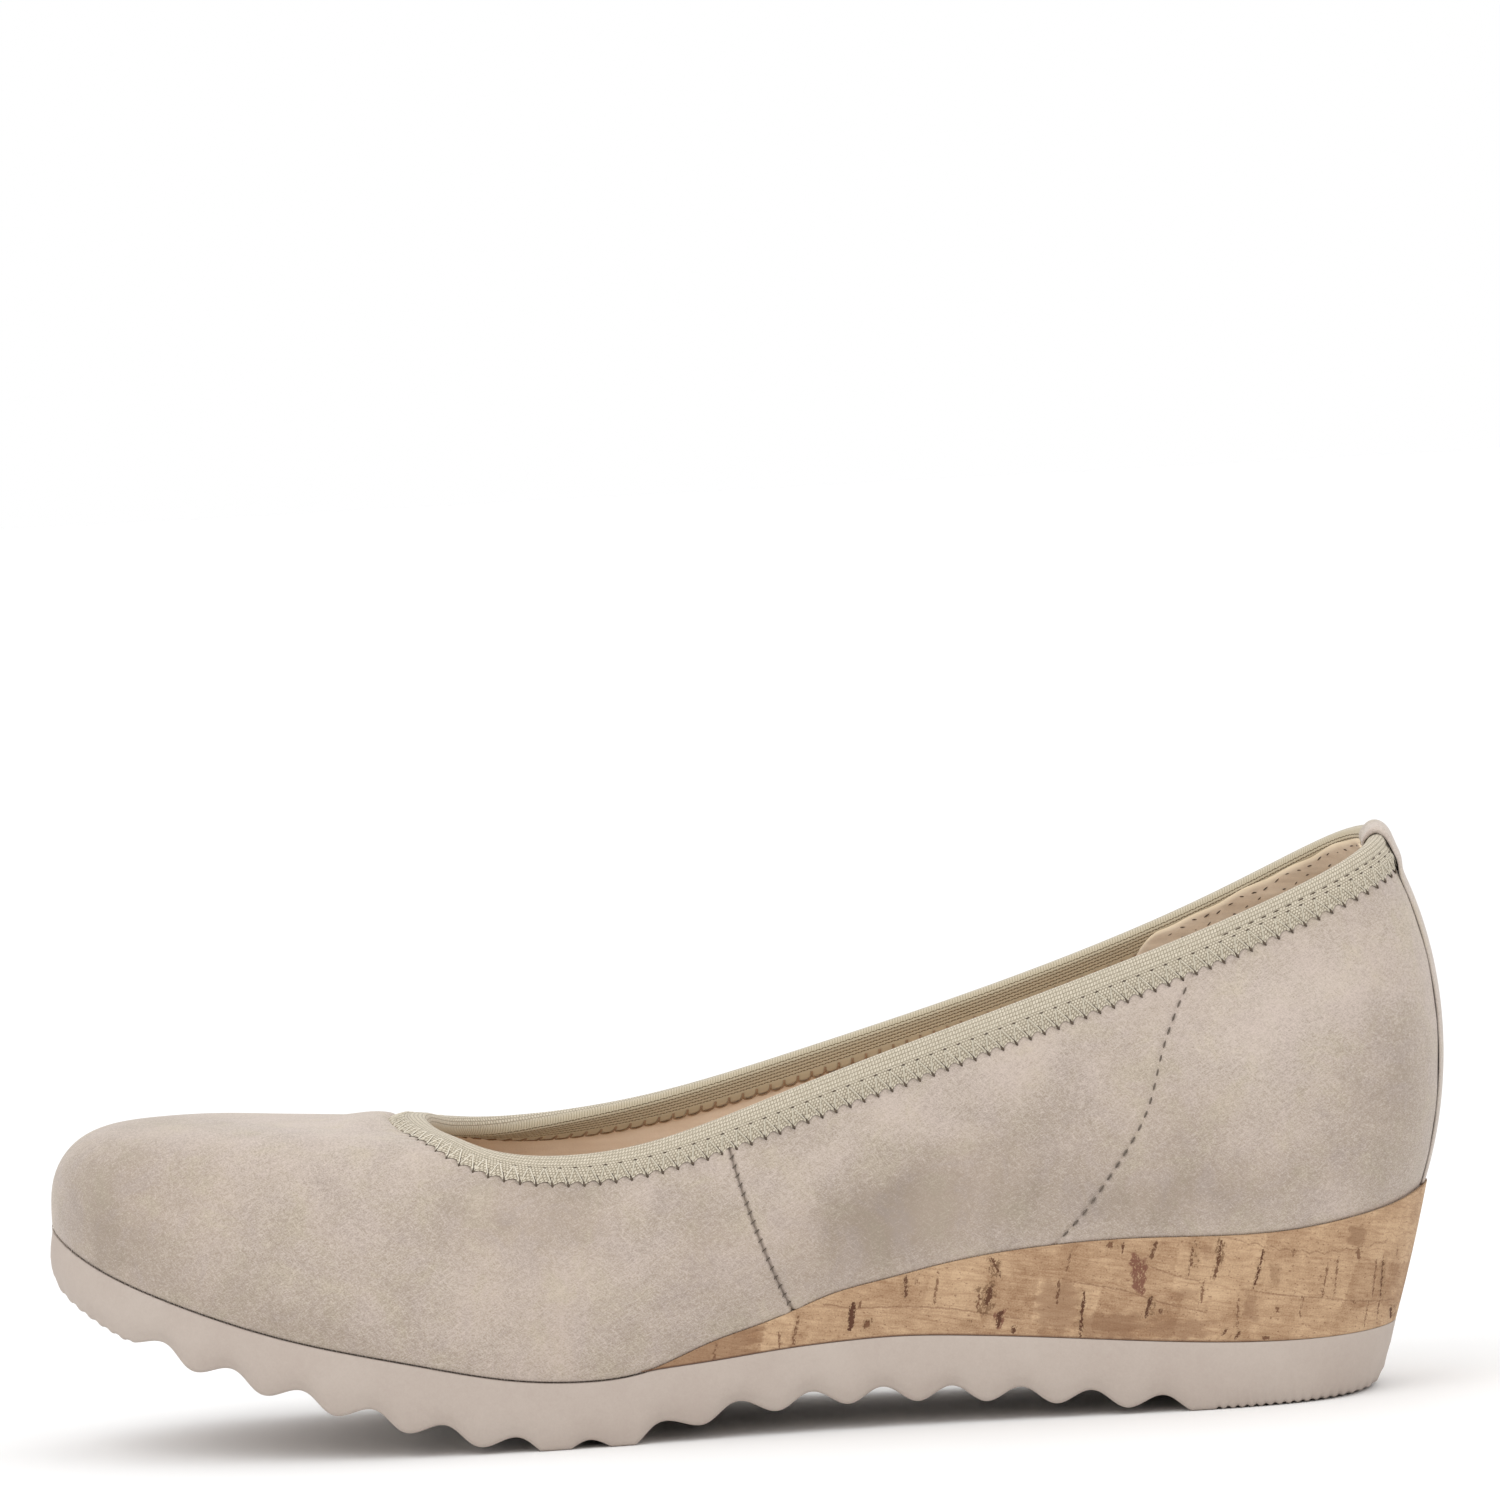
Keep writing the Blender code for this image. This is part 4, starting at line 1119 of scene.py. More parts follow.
def leather_finish(name, light, dark, gloss):
    """Pebble grain from cells of half a millimetre, over a slow drift of colour and faint drawn lines; pale
    where the mesh carries a raw edge."""
    f = Finish(name, Specular_IOR_Level=0.35)
    at = f.place()
    drift = f.noise(at, 0.09, 3.0, 0.6)
    drawn = f.noise(f.stretch(at, (9.0, 2.4, 1.0)), 1.0, 3.0)
    cell = f.node("ShaderNodeTexVoronoi", {"feature": "F1"}, {"Vector": at, "Scale": 2.2}, "Distance")
    fine = f.noise(at, 4.0, 2.0)
    tone = drift * 0.5 + drawn * 0.4 + fine * 0.2
    colour = f.mix(tone.step(0.3, 0.8), dark, light)
    colour = f.coats(colour, (f.value("raw"), (232, 212, 178)))
    f.bump((1 - cell) * 0.6 + fine * 0.4, 0.06, 0.6)
    return f.done(colour, 1 - gloss + drift * 0.12)


lining_leather = leather_finish("lining_leather", shade_of(238, 220, 200), shade_of(224, 202, 179), 0.42)

LINING_ROWS, LINING_COLS = 36, 288
LINING_TOP, LINING_FOOT = 1.2, 0.2        # kept clear of the collar edge and of the feather line
line_q = np.arange(LINING_COLS) * TAU / LINING_COLS
line_share = np.linspace(0, 1, LINING_ROWS)[:, None]
line_depth = LINING_TOP + line_share * (rib_length(line_q) - LINING_TOP - LINING_FOOT)
line_back = on_wall(line_q, line_depth, -SUEDE_THICK - 0.06)
line_front = on_wall(line_q, line_depth, -WALL)
lining = np.concatenate([line_back, line_front[::-1]])
put("lining", lining, [grid_faces(*lining.shape[:2], True, True)], lining_leather)

# %% [markdown]
# The heel has a second piece of leather that is sewn over the tape and grips the foot. Its upper edge is cut
# raw, so it is pale and waves a little, and the leather below it is softly crinkled. It is one closed skin: a
# back, a front, and a rim of faces between them.

# %% Heel piece
GRIP_FRONT = 0.135        # how far it runs ahead of the counter line, in turn
GRIP_TOP = 0.35           # its upper edge, below the collar edge inside
GRIP_THICK = 0.55
RUFFLE = 0.16             # waves of its upper edge
CRINKLE = 0.16            # waves of its face, which die away downwards
RAW_EDGE = 0.6            # share of the pale raw colour along the upper edge
GRIP_ROWS, GRIP_COLS = 64, 161
grip_s = np.linspace(-1, 1, GRIP_COLS)[None, :]
grip_t = np.linspace(0, 1, GRIP_ROWS)[:, None]
grip_q = grip_s * (cut_line(COUNTER_LINE, grip_t) + GRIP_FRONT)
grip_run = rim_place(np.abs(grip_q))
corner = 2.4 * np.clip((np.abs(grip_s) - 0.95) / 0.05, 0, 1) ** 2
ruffle = RUFFLE * (np.sin(0.62 * grip_run) + np.sin(0.27 * grip_run + 1.0)) * (1 - grip_t) ** 12
grip_depth = GRIP_TOP + ruffle + corner * (1 - grip_t) + grip_t * (rib_length(grip_q) - GRIP_TOP - 0.8)
over_tape = step(TAPE_INSIDE + 1.6, TAPE_INSIDE - 0.2, grip_depth)
over_strip = step(STRIP_INSIDE + 1.8, STRIP_INSIDE - 0.4, grip_depth)
over_strip = over_strip * step(1.25, 1.0, np.abs(grip_q) * per_radian / STRIP_HALF)
grip_base = -WALL - 0.06 - over_tape * 0.80 - over_strip * 0.85
grip_edge = np.minimum(1, np.minimum((1 - np.abs(grip_s)) * 60, np.minimum(grip_t, 1 - grip_t) * 40 + 0.25))
crinkle = np.sin(0.9 * grip_run + 1.1 * grip_depth) * np.sin(0.35 * grip_run - 0.8 * grip_depth)
crinkle = CRINKLE * crinkle * step(26, 6, grip_depth) * grip_edge
grip_height = grip_base - GRIP_THICK * (0.35 + 0.65 * np.sqrt(grip_edge)) - crinkle
grip_back, grip_front = (on_wall(np.mod(grip_q, TAU), grip_depth, h) for h in (grip_base, grip_height))
cut_top = np.broadcast_to(RAW_EDGE * (grip_t == 0), grip_q.shape)
faces = grid_faces(GRIP_ROWS, GRIP_COLS)
extra = GRIP_ROWS * GRIP_COLS
number = np.arange(extra).reshape(GRIP_ROWS, GRIP_COLS)
rim = np.concatenate([number[0], number[1:, -1], number[-1, -2::-1], number[-2:0:-1, 0]])
after = np.roll(rim, -1)
sides = np.stack([rim, rim + extra, after + extra, after], -1)
counter_leather = leather_finish("counter_leather", shade_of(223, 206, 185), shade_of(194, 176, 155), 0.35)
put("heel_grip", np.concatenate([grip_back, grip_front]), [faces, faces[:, ::-1] + extra, sides],
    counter_leather, values={"raw": np.concatenate([cut_top, cut_top])})

# %% [markdown]
# The heel piece is held by two rows of stitches near its upper edge. They are short dark dashes pressed into
# the leather, and they do not lie quite in line.

# %% Stitches of the heel piece
GRIP_SEWN = ((1.3, 2.45, 1.1), (3.3, 2.6, 0.8))     # distance from the edge, pitch and length
bits = []
t = np.linspace(0, 1, 6)[None, :]
for row, pitch, length in GRIP_SEWN:
    place = np.arange(8.5, heel_reach + 6.0, pitch)[:, None]
    place = np.concatenate([place, RIM_LENGTH - place])
    depth_t = GRIP_TOP + row + 0.35 * np.sin(place * 1.9) + 0.5 * np.sin(place * 3.1) * (t - 0.5)
    bits.append(sewn(place + (t - 0.5) * length, depth_t, IN_FACE - GRIP_THICK - 0.01, DASH_RADIUS * full))
points, faces = joined(bits)
put("grip_stitches", points, faces, umber)

# %% [markdown]
# The footbed is a leather-covered board. It follows the foot side of sole and wedge, a little dished, with
# a rounded edge against the lining. A flat cut-out bent to shape would need a modifier, so it is built from
# stations along the foot, each one a closed loop over outer edge, top, inner edge and bottom.

# %% Footbed


def wall_plan(q, grow, setback):
    """Feather outline grown in plan by a distance and drawn in round the back of the heel."""
    plan, out = feather(q)
    plan = plan + grow[..., None] * out
    pull = np.clip((plan[..., 0] - HEEL_TURN) / (FOOT_HEEL - HEEL_TURN), 0.0, None) ** 2
    return plan[..., 0] - setback * pull, plan[..., 1] * (1.0 - HEEL_TAPER * setback * np.minimum(pull, 1.0))


BED_EDGE = ((0.5, 0.0), (0.0, 0.5), (-0.7, 1.3), (-1.2, 2.1), (-0.8, 2.6), (0.6, 2.7))     # inset and height
BED_STATIONS, BED_ACROSS = 200, 24


def bed_side(turns):
    """Rounded edge of the footbed along one side, a row of points for each row of the edge."""
    ring = []
    for inset, up in BED_EDGE:
        x, y = wall_plan(turns, np.full_like(turns, -INSOLE_INSET - inset), 0.0)
        ring.append(np.stack([x, y, profile(FEATHER_LINE, x) + GAP / 2 + up], -1))
    return np.stack(ring, 1)


bed_q = np.linspace(0, math.pi, BED_STATIONS)
outer, inner = bed_side(bed_q), bed_side(TAU - bed_q)
top = between(outer[:, -1], inner[:, -1], BED_ACROSS)
off_axis = np.linspace(-1, 1, BED_ACROSS + 2)[None, 1:-1]
heel_cup = step(30, 90, top[..., 0]) * (1 - off_axis ** 2)
top[..., 2] += 0.5 * off_axis ** 4 - 0.25 * heel_cup - 0.15
bed = np.concatenate([outer, top, inner[:, ::-1], between(inner[:, 0], outer[:, 0], BED_ACROSS)], axis=1)
faces = grid_faces(*bed.shape[:2], False, True)
footbed_leather = leather_finish("footbed_leather", shade_of(238, 221, 202), shade_of(222, 202, 180), 0.4)
footbed = put("footbed", bed, [faces], footbed_leather, merge=True)
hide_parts("insole")

# %% [markdown]
# Where the suede is cut, loose fibres of its flesh side stand out over the cork and the rubber. Each is a
# fine tapered thread that starts in the edge and curls a little away from it. Hair particles would not come
# out as a closed mesh, so the fibres are threads with three sides.

# %% Loose fibres of the cut edges
FIBRES = 1500
FIBRE_RADIUS = 0.045
FIBRE_TONE = 0.1
fibre_rng = np.random.default_rng(5)
roll = fibre_rng.random((FIBRES, 5, 1))     # the last draw of each fibre is spare
fibre_q = TAU * (np.arange(FIBRES)[:, None] + roll[:, 0]) / FIBRES
fibre_low = rib_length(fibre_q) - 0.15 - 0.25 * roll[:, 1]
base = on_wall(fibre_q, fibre_low, 0.0)
down = base - on_wall(fibre_q, fibre_low - 1.0, 0.0)
out = on_wall(fibre_q, fibre_low, 1.0) - base
t = np.linspace(0, 1, 4)[None, :, None]
reach = (0.30 + 0.75 * roll[:, 1:2] ** 2) * t
curl = out * (0.05 + 0.16 * roll[:, 2:3] * t * (1.4 - t))
sway = np.cross(down, out) * (roll[:, 3:4] - 0.5) * 1.3 * reach * t
paths = base + down * reach + curl + sway
points, faces = threads(paths, FIBRE_RADIUS * (1 - 0.75 * t[..., 0]), np.broadcast_to(out, paths.shape), 3)
put("nap_fibres", points, faces, suede, values={"tone": np.full(len(points), FIBRE_TONE)})

# %% [markdown]
# The wedge is wrapped in cork sheet: thin strips of cork glued edge to edge, each cut into blocks of
# slightly different tone, with dark pores that lean the way the bark grew. Strips and blocks are worked out
# from place along the shoe and height. On the outer side, pores, stains, fields of bark dust and thin joints
# are listed one by one, by how far along the shoe they are and at which share of the wall's height. The
# unseen inner side gets pores of the same kind from a seeded draw. A picture of cork would repeat, and it
# would not know the wall's shape.

# %% Cork wedge: wall and pores
WALL_COLUMNS = ("share", "grow", "setback")
WEDGE_WALL = ((0.0, 0.0, 5.8), (0.5, 0.1, 2.4), (1.0, 0.2, -0.8))
PORES = (   # x, share of the wall at the lower and the upper end, lean, width, darkness
    (5, 0, 0.7, 0.3, 0.35, 0.5), (7.9, 0.02, 0.8, 1.4, 0.4, 0.6), (-6.5, 0, 0.8, 0.6, 0.4, 0.5),
    (18, 0.17, 0.73, 1, 0.95, 1), (19.6, 0.57, 0.73, 0.3, 0.35, 0.6), (20.7, 0.17, 0.33, 0.4, 1, 0.6),
    (27.9, 0.62, 0.97, 0.4, 0.55, 0.8), (30, 0.8, 0.98, 0.3, 0.3, 0.4), (33.2, 0.42, 0.93, 1.2, 0.35, 0.45),
    (44, 0.7, 0.98, -1.8, 0.5, 0.75), (42.5, 0.37, 0.62, 1, 0.9, 0.85), (44.1, 0.09, 0.31, 0.9, 0.8, 0.9),
    (40.6, 0.3, 0.55, 1, 0.4, 0.5), (46.6, 0.01, 0.13, 0.3, 0.6, 0.9), (54.8, 0.36, 0.62, 0.8, 0.4, 0.7),
    (58.9, 0.01, 0.5, 1.3, 0.5, 0.95), (57, 0.7, 0.93, 1.4, 0.32, 0.5), (66.8, 0.85, 0.97, 0.3, 0.4, 0.8),
    (64.5, 0.92, 0.98, 0, 0.9, 0.6), (72.3, 0.79, 0.98, 1.1, 0.6, 0.75), (70.8, 0.22, 0.44, 1.2, 0.6, 0.9),
    (72.9, 0.26, 0.32, 0, 0.55, 0.7), (78.9, 0.63, 0.97, 1.4, 0.35, 0.7),
    (83.6, 0.58, 0.99, 1.9, 0.5, 0.75), (80.4, 0.34, 0.59, 1.1, 0.4, 0.5), (90.7, 0.49, 0.86, 2.3, 0.42, 1),
    (97, 0.75, 0.84, 0.5, 0.3, 0.5), (102.5, 0.35, 0.66, 1.4, 0.3, 0.5),
    (104.5, 0.34, 0.69, 1.2, 0.3, 0.55), (108.8, 0.62, 0.72, 0, 0.9, 0.5),
    (111.6, 0.27, 0.6, 1.2, 0.35, 0.6), (113, 0.25, 0.6, 1, 0.5, 0.75), (116, 0.55, 0.63, 0.1, 0.35, 0.6),
    (114.5, 0.03, 0.14, 0.2, 1, 0.9), (86.6, 0.13, 0.45, 0.7, 0.3, 0.55), (93.6, 0.25, 0.31, 0, 0.6, 0.6),
    (84, 0.05, 0.12, 0.9, 0.5, 0.8), (86.4, 0.02, 0.1, 0.9, 0.5, 0.8), (91.4, 0.01, 0.05, 0, 1.2, 0.7),
    (98, 0.2, 0.39, 0.6, 0.3, 0.45), (107.5, 0.25, 0.28, 0, 0.5, 0.6), (109.8, 0.01, 0.25, 1.2, 0.3, 0.5),
    (112, 0.03, 0.23, 0.5, 0.35, 0.6),
)
# A field is x, share, half its length, half its share, how much wider it is at the top, and strength
RED_FIELDS = ((69.3, 0.64, 1.4, 0.21, 0.3, 1), (44.2, 0.2, 0.95, 0.12, 0.4, 0.9))
STAINS = (   # soft brown stains
    (54.6, 0.33, 4, 0.28, 0.1, 0.5), (108.7, 0.84, 1.6, 0.09, -0.2, 0.5), (82, 0.84, 1.3, 0.07, 0.3, 0.3),
    (93.6, 0.61, 1, 0.12, 0.4, 0.3), (89, 0.33, 1.3, 0.14, -0.3, 0.4), (63.5, 0.14, 6, 0.13, 0.2, 0.5),
    (76, 0.12, 6, 0.1, 0.1, 0.4), (77, 0.45, 3.2, 0.06, 0.2, 0.3), (-10, 0.5, 10, 0.7, 0, 1),
)
BARK_FIELDS = (   # ragged fields of bark dust
    (43.8, 0.84, 1.3, 0.14, 0, 1), (42, 0.46, 2, 0.24, 0.1, 1), (20.7, 0.25, 1, 0.12, 0, 0.9),
    (79.6, 0.8, 0.9, 0.18, 0.2, 0.8), (84, 0.83, 1, 0.15, 0.3, 1), (93.5, 0.62, 0.8, 0.13, 0.3, 0.7),
    (108.6, 0.84, 1.3, 0.1, 0, 0.6), (113.1, 0.42, 0.7, 0.2, 0, 0.8), (71.4, 0.33, 0.8, 0.12, 0.2, 0.9),
    (27.6, 0.8, 0.8, 0.2, 0.2, 0.7), (58.8, 0.28, 0.8, 0.26, 0, 0.7), (33, 0.7, 0.6, 0.25, 0, 0.6),
    (65, 0.95, 1.6, 0.05, 0, 0.8), (86, 0.06, 2.2, 0.06, 0, 0.7), (115, 0.1, 1, 0.08, 0, 0.9),
    (38.8, 0.15, 1.8, 0.07, 0, 0.7), (37, 0.55, 0.8, 0.16, 0.2, 0.6),
)
TRAIL_COLUMNS = ("x", "share")
TRAILS = (   # thin joints on the outer side: height of the scallops in millimetres, then x and share along it
    (0.55, ((87.0, 0.95), (88.4, 0.93), (91.9, 0.885), (95.5, 0.83), (102.5, 0.75), (109.7, 0.72),
            (114.5, 0.717))),
    (0.0, ((87.5, 0.495), (94.8, 0.417), (100.9, 0.36), (109.7, 0.253), (115.0, 0.20))),
    (0.12, ((13.0, 0.86), (18.0, 0.60), (27.0, 0.48), (36.0, 0.36), (44.0, 0.24), (48.0, 0.20))),
    (0.10, ((57.0, 0.60), (66.0, 0.50), (74.0, 0.36), (81.0, 0.28))),
    (0.0, ((71.5, 0.72), (76.5, 0.62), (80.0, 0.58))),
)
TIP_BLOCKS = ((-30.0, 0.42), (-4.7, 0.05), (0.7, 0.95), (5.8, 0.28), (8.6, 0.75))     # first x and tone
TIP_END = 11.0            # x where the tip's own blocks end
INNER_MOVE = 9.0          # the inner side's fields lie this much further forward, and upside down
rng = np.random.default_rng(7)
draw = rng.random((60, 6)).T
low = 0.85 * draw[1]
INNER_PORES = np.stack([-12 + 128 * draw[0], low, low + 0.08 + 0.32 * draw[2] ** 2, 1.6 * draw[3],
                        0.28 + 0.6 * draw[4] ** 3, 0.4 + 0.6 * draw[5]], -1)
print("pores placed by hand:", len(PORES), "drawn:", len(INNER_PORES))

# %% [markdown]
# Each kind of mark is a function of the place on the wall: x along the shoe, z above the floor, and the share
# of the wall's height. It gives a distance or a strength, which the finish turns into colour later.

# %% Cork wedge: marks
SCALLOP = 2.7             # length of a scallop along a joint
CORK_STRIP = 8.2          # height of a cork strip
CORK_BLOCK = 11.5         # usual length of a block
SEEN_SCALE, SEEN_MOVE = 1.012, 0.6


def as_seen(x):
    """Place along the shoe as it is counted on the outer side: the wall there is a little nearer the eye."""
    return SEEN_SCALE * x + SEEN_MOVE


def pores(x, share, tall, facing, rows):
    """Distance in millimetres to the nearest leaning slit, whose width tapers to both ends, and that slit's
    darkness. Distances are counted along the wall, so they grow where it turns away round the heel."""
    far, dark = np.full(x.shape, 9.0), np.zeros(x.shape)
    for at, low, high, lean, wide, deep in rows:
        t = (share - low) / (high - low)
        off = np.abs(x - at - lean * (t - 0.5) - 0.06 * np.sin(9 * share + at)) / facing
        half = (0.55 * wide + 0.05) * np.sqrt(np.clip(1 - (2 * t - 1) ** 4, 0, 1))
        past = (np.abs(2 * t - 1) - 1) / 2 * (high - low) * tall
        here = np.maximum(off - half, past)
        dark = np.where(here < far, deep, dark)
        far = np.minimum(far, here)
    return far, dark


def fields(x, z, share, rows):
    """Strength of leaning, uneven-edged fields on the wall: full inside, fading at a wavy border."""
    total = np.zeros(x.shape)
    for at, middle, half_x, half_share, taper, strength in rows:
        up = (share - middle) / half_share + 0.18 * np.sin(1.9 * x + at)
        over = (x - at - 1.2 * up * half_share) / (half_x * (1 + taper * up)) + 0.20 * np.sin(3.1 * z + at)
        total = np.maximum(total, strength * step(1.3, 0.6, np.abs(over)) * step(1.3, 0.6, np.abs(up)))
    return total


def trails(x, z, low, tall):
    """Nearness to the thin joints: each runs through its points and may bulge up in a row of scallops."""
    near = np.zeros(x.shape)
    for scallop, path in TRAILS:
        table = columns(path, TRAIL_COLUMNS)
        height = low + tall * np.interp(x, table["x"], table["share"])
        height = height + scallop * (np.abs(np.sin(math.pi * x / SCALLOP)) - 0.6)
        first, last = table["x"][0], table["x"][-1]
        within = step(first - 0.3, first, x) * step(last + 0.3, last, x)
        near = np.maximum(near, within * np.clip(1 - np.abs(z - height) / 0.55, 0, 1))
    return near


def bands(x, z, seed):
    """Tone of the cork blocks and the fine joints between them. Strips sink towards the heel, and each is cut
    at uneven lengths; a block's tone is the fraction of a large sine of its strip and count."""
    strip = (z + 0.16 * x + 0.25 * np.sin(0.5 * x)) / CORK_STRIP + seed
    k = np.floor(strip)
    block = (x - 0.28 * z) / (CORK_BLOCK + 4 * np.sin(2.1 * k)) + 0.37 * k + 0.18 * np.sin(2.3 * k + 0.13 * x)
    j = np.floor(block)
    tone = np.mod(np.sin(12.9898 * k + 78.233 * j + seed) * 43758.5453, 1.0)
    joint = np.maximum(step(0.035, 0.01, np.minimum(strip - k, 1 - strip + k)),
                       0.8 * step(0.022, 0.006, np.minimum(block - j, 1 - block + j)))
    return tone, joint


# %% [markdown]
# Both sides of the wedge are made by one function. Stations stand at even steps along the wall, and each
# gives a closed loop: outer wall, bottom, inner wall, top. The marks ride on the points as values.

# %% Cork wedge: sides and loop
STATION_STEP = 0.31
WALL_ROWS = 72
LID = 5                   # points across the bottom and across the top
SHEET_END = WEDGE_TIP - 4.0     # the sheet runs on to a feather edge
MARKS = ("mark", "deep", "tone", "joint", "stain", "red", "bark", "halo", "glue")


def turn_at(x):
    """Turn on the outer side whose feather point lies at x."""
    return np.arccos(np.clip(1.0 - 2.0 * (FOOT_HEEL - x) / FOOT_LENGTH, -1.0, 1.0))


fine_q = np.linspace(0, turn_at(np.array(SHEET_END)), 3000)
fine_run = run_along(np.stack(wall_plan(fine_q, np.full_like(fine_q, 0.2), 2.0), -1))
stations = int(fine_run[-1] / STATION_STEP)
wedge_q = np.interp(np.linspace(0, fine_run[-1], stations), fine_run, fine_q)
wall_t = np.linspace(1, 0, WALL_ROWS)[None, :]
wedge_table = columns(WEDGE_WALL, WALL_COLUMNS)


def cork_side(turns, sign):
    """Points of one side of the wedge, with pores and joints sunk, and its marks; sign is -1 outside."""
    outer = sign < 0
    grow, setback = (smooth(wedge_table["share"], wedge_table[name], wall_t) for name in ("grow", "setback"))
    x, y = wall_plan(turns[:, None], grow, setback)
    low = profile(CORK_LINE, x) - 0.05
    high = np.maximum(profile(FEATHER_LINE, x) + 0.12, low + 0.24)
    z = low + (high - low) * wall_t
    run_x, run_y = np.gradient(x, axis=0), np.gradient(y, axis=0)
    facing = np.maximum(np.abs(run_x) / np.hypot(run_x, run_y), 0.08)
    seen = as_seen(x) if outer else x
    far, deep = pores(seen, wall_t, high - low, facing, PORES if outer else INNER_PORES)
    tone, joint = bands(x, z, 0.0 if outer else 3.0)
    made = {"z": z, "deep": deep}
    made["mark"] = np.clip(0.5 - far / 1.3, 0, 1)
    made["halo"] = deep * np.clip(1 - far / 1.5, 0, 1)
    if outer:
        starts, tones = np.array(TIP_BLOCKS).T
        block = np.searchsorted(starts, seen - 0.25 * z + 3.0) - 1
        tone = np.where(seen < TIP_END, tones[np.clip(block, 0, len(tones) - 1)], tone)
        joint = np.maximum(0.45 * joint, trails(seen, z, low, high - low))
    made["tone"], made["joint"] = tone, joint
    for key, rows in (("stain", STAINS), ("red", RED_FIELDS), ("bark", BARK_FIELDS)):
        if not outer:
            rows = [(at - INNER_MOVE, 1 - middle, *rest) for at, middle, *rest in rows]
        made[key] = fields(seen, z, wall_t, rows)
    made["glue"] = step(0.40, 0.10, z - low) * step(108.0, 84.0, seen)     # dark line above the rubber: glue and painted shade of the joint
    run = np.interp(side_turn(turns), fine_q, fine_run)[:, None]
    made["run"] = np.broadcast_to(-sign * run, x.shape)
    off_seam = step(0.0, 1.2, run)     # both sides meet at the back without a step
    sink = -(0.14 * np.clip(-far / 0.25, 0, 1) + 0.03 * joint) * off_seam
    x, y = wall_plan(turns[:, None], grow + sink, setback)
    return np.stack([x, y, z], -1), made


outer, outer_made = cork_side(wedge_q, -1)
inner, inner_made = cork_side(TAU - wedge_q, 1)
bottom = between(outer[:, -1], inner[:, -1], LID)
arch = np.sin(math.pi * np.linspace(0, 1, LID + 2)[None, 1:-1])
bottom[..., 2] += 0.05 * arch * np.minimum(np.arange(stations) / 4, 1)[:, None]
cork_points = np.concatenate([outer, bottom, inner[:, ::-1], between(inner[:, 0], outer[:, 0], LID)], axis=1)


def round_loop(key, lid_value=0.0):
    """A value all round the loops, the same everywhere on the two lids."""
    blank = np.full((stations, LID), lid_value)
    return np.concatenate([outer_made[key], blank, inner_made[key][:, ::-1], blank], axis=1)


cork_values = {key: round_loop(key, 0.5 if key == "tone" else 0.0) for key in MARKS}
cork_flat = np.stack([round_loop("run"), round_loop("z")], -1)
loop = cork_points.shape[1]
faces = grid_faces(stations, loop, False, True)
rr, cc = grid_corners(stations, loop, False, True)
cork_uv = cork_flat[rr, cc % loop]
front = (stations - 1) * loop + np.arange(loop)[None, :]
print("cork stations:", stations, "loop:", loop)
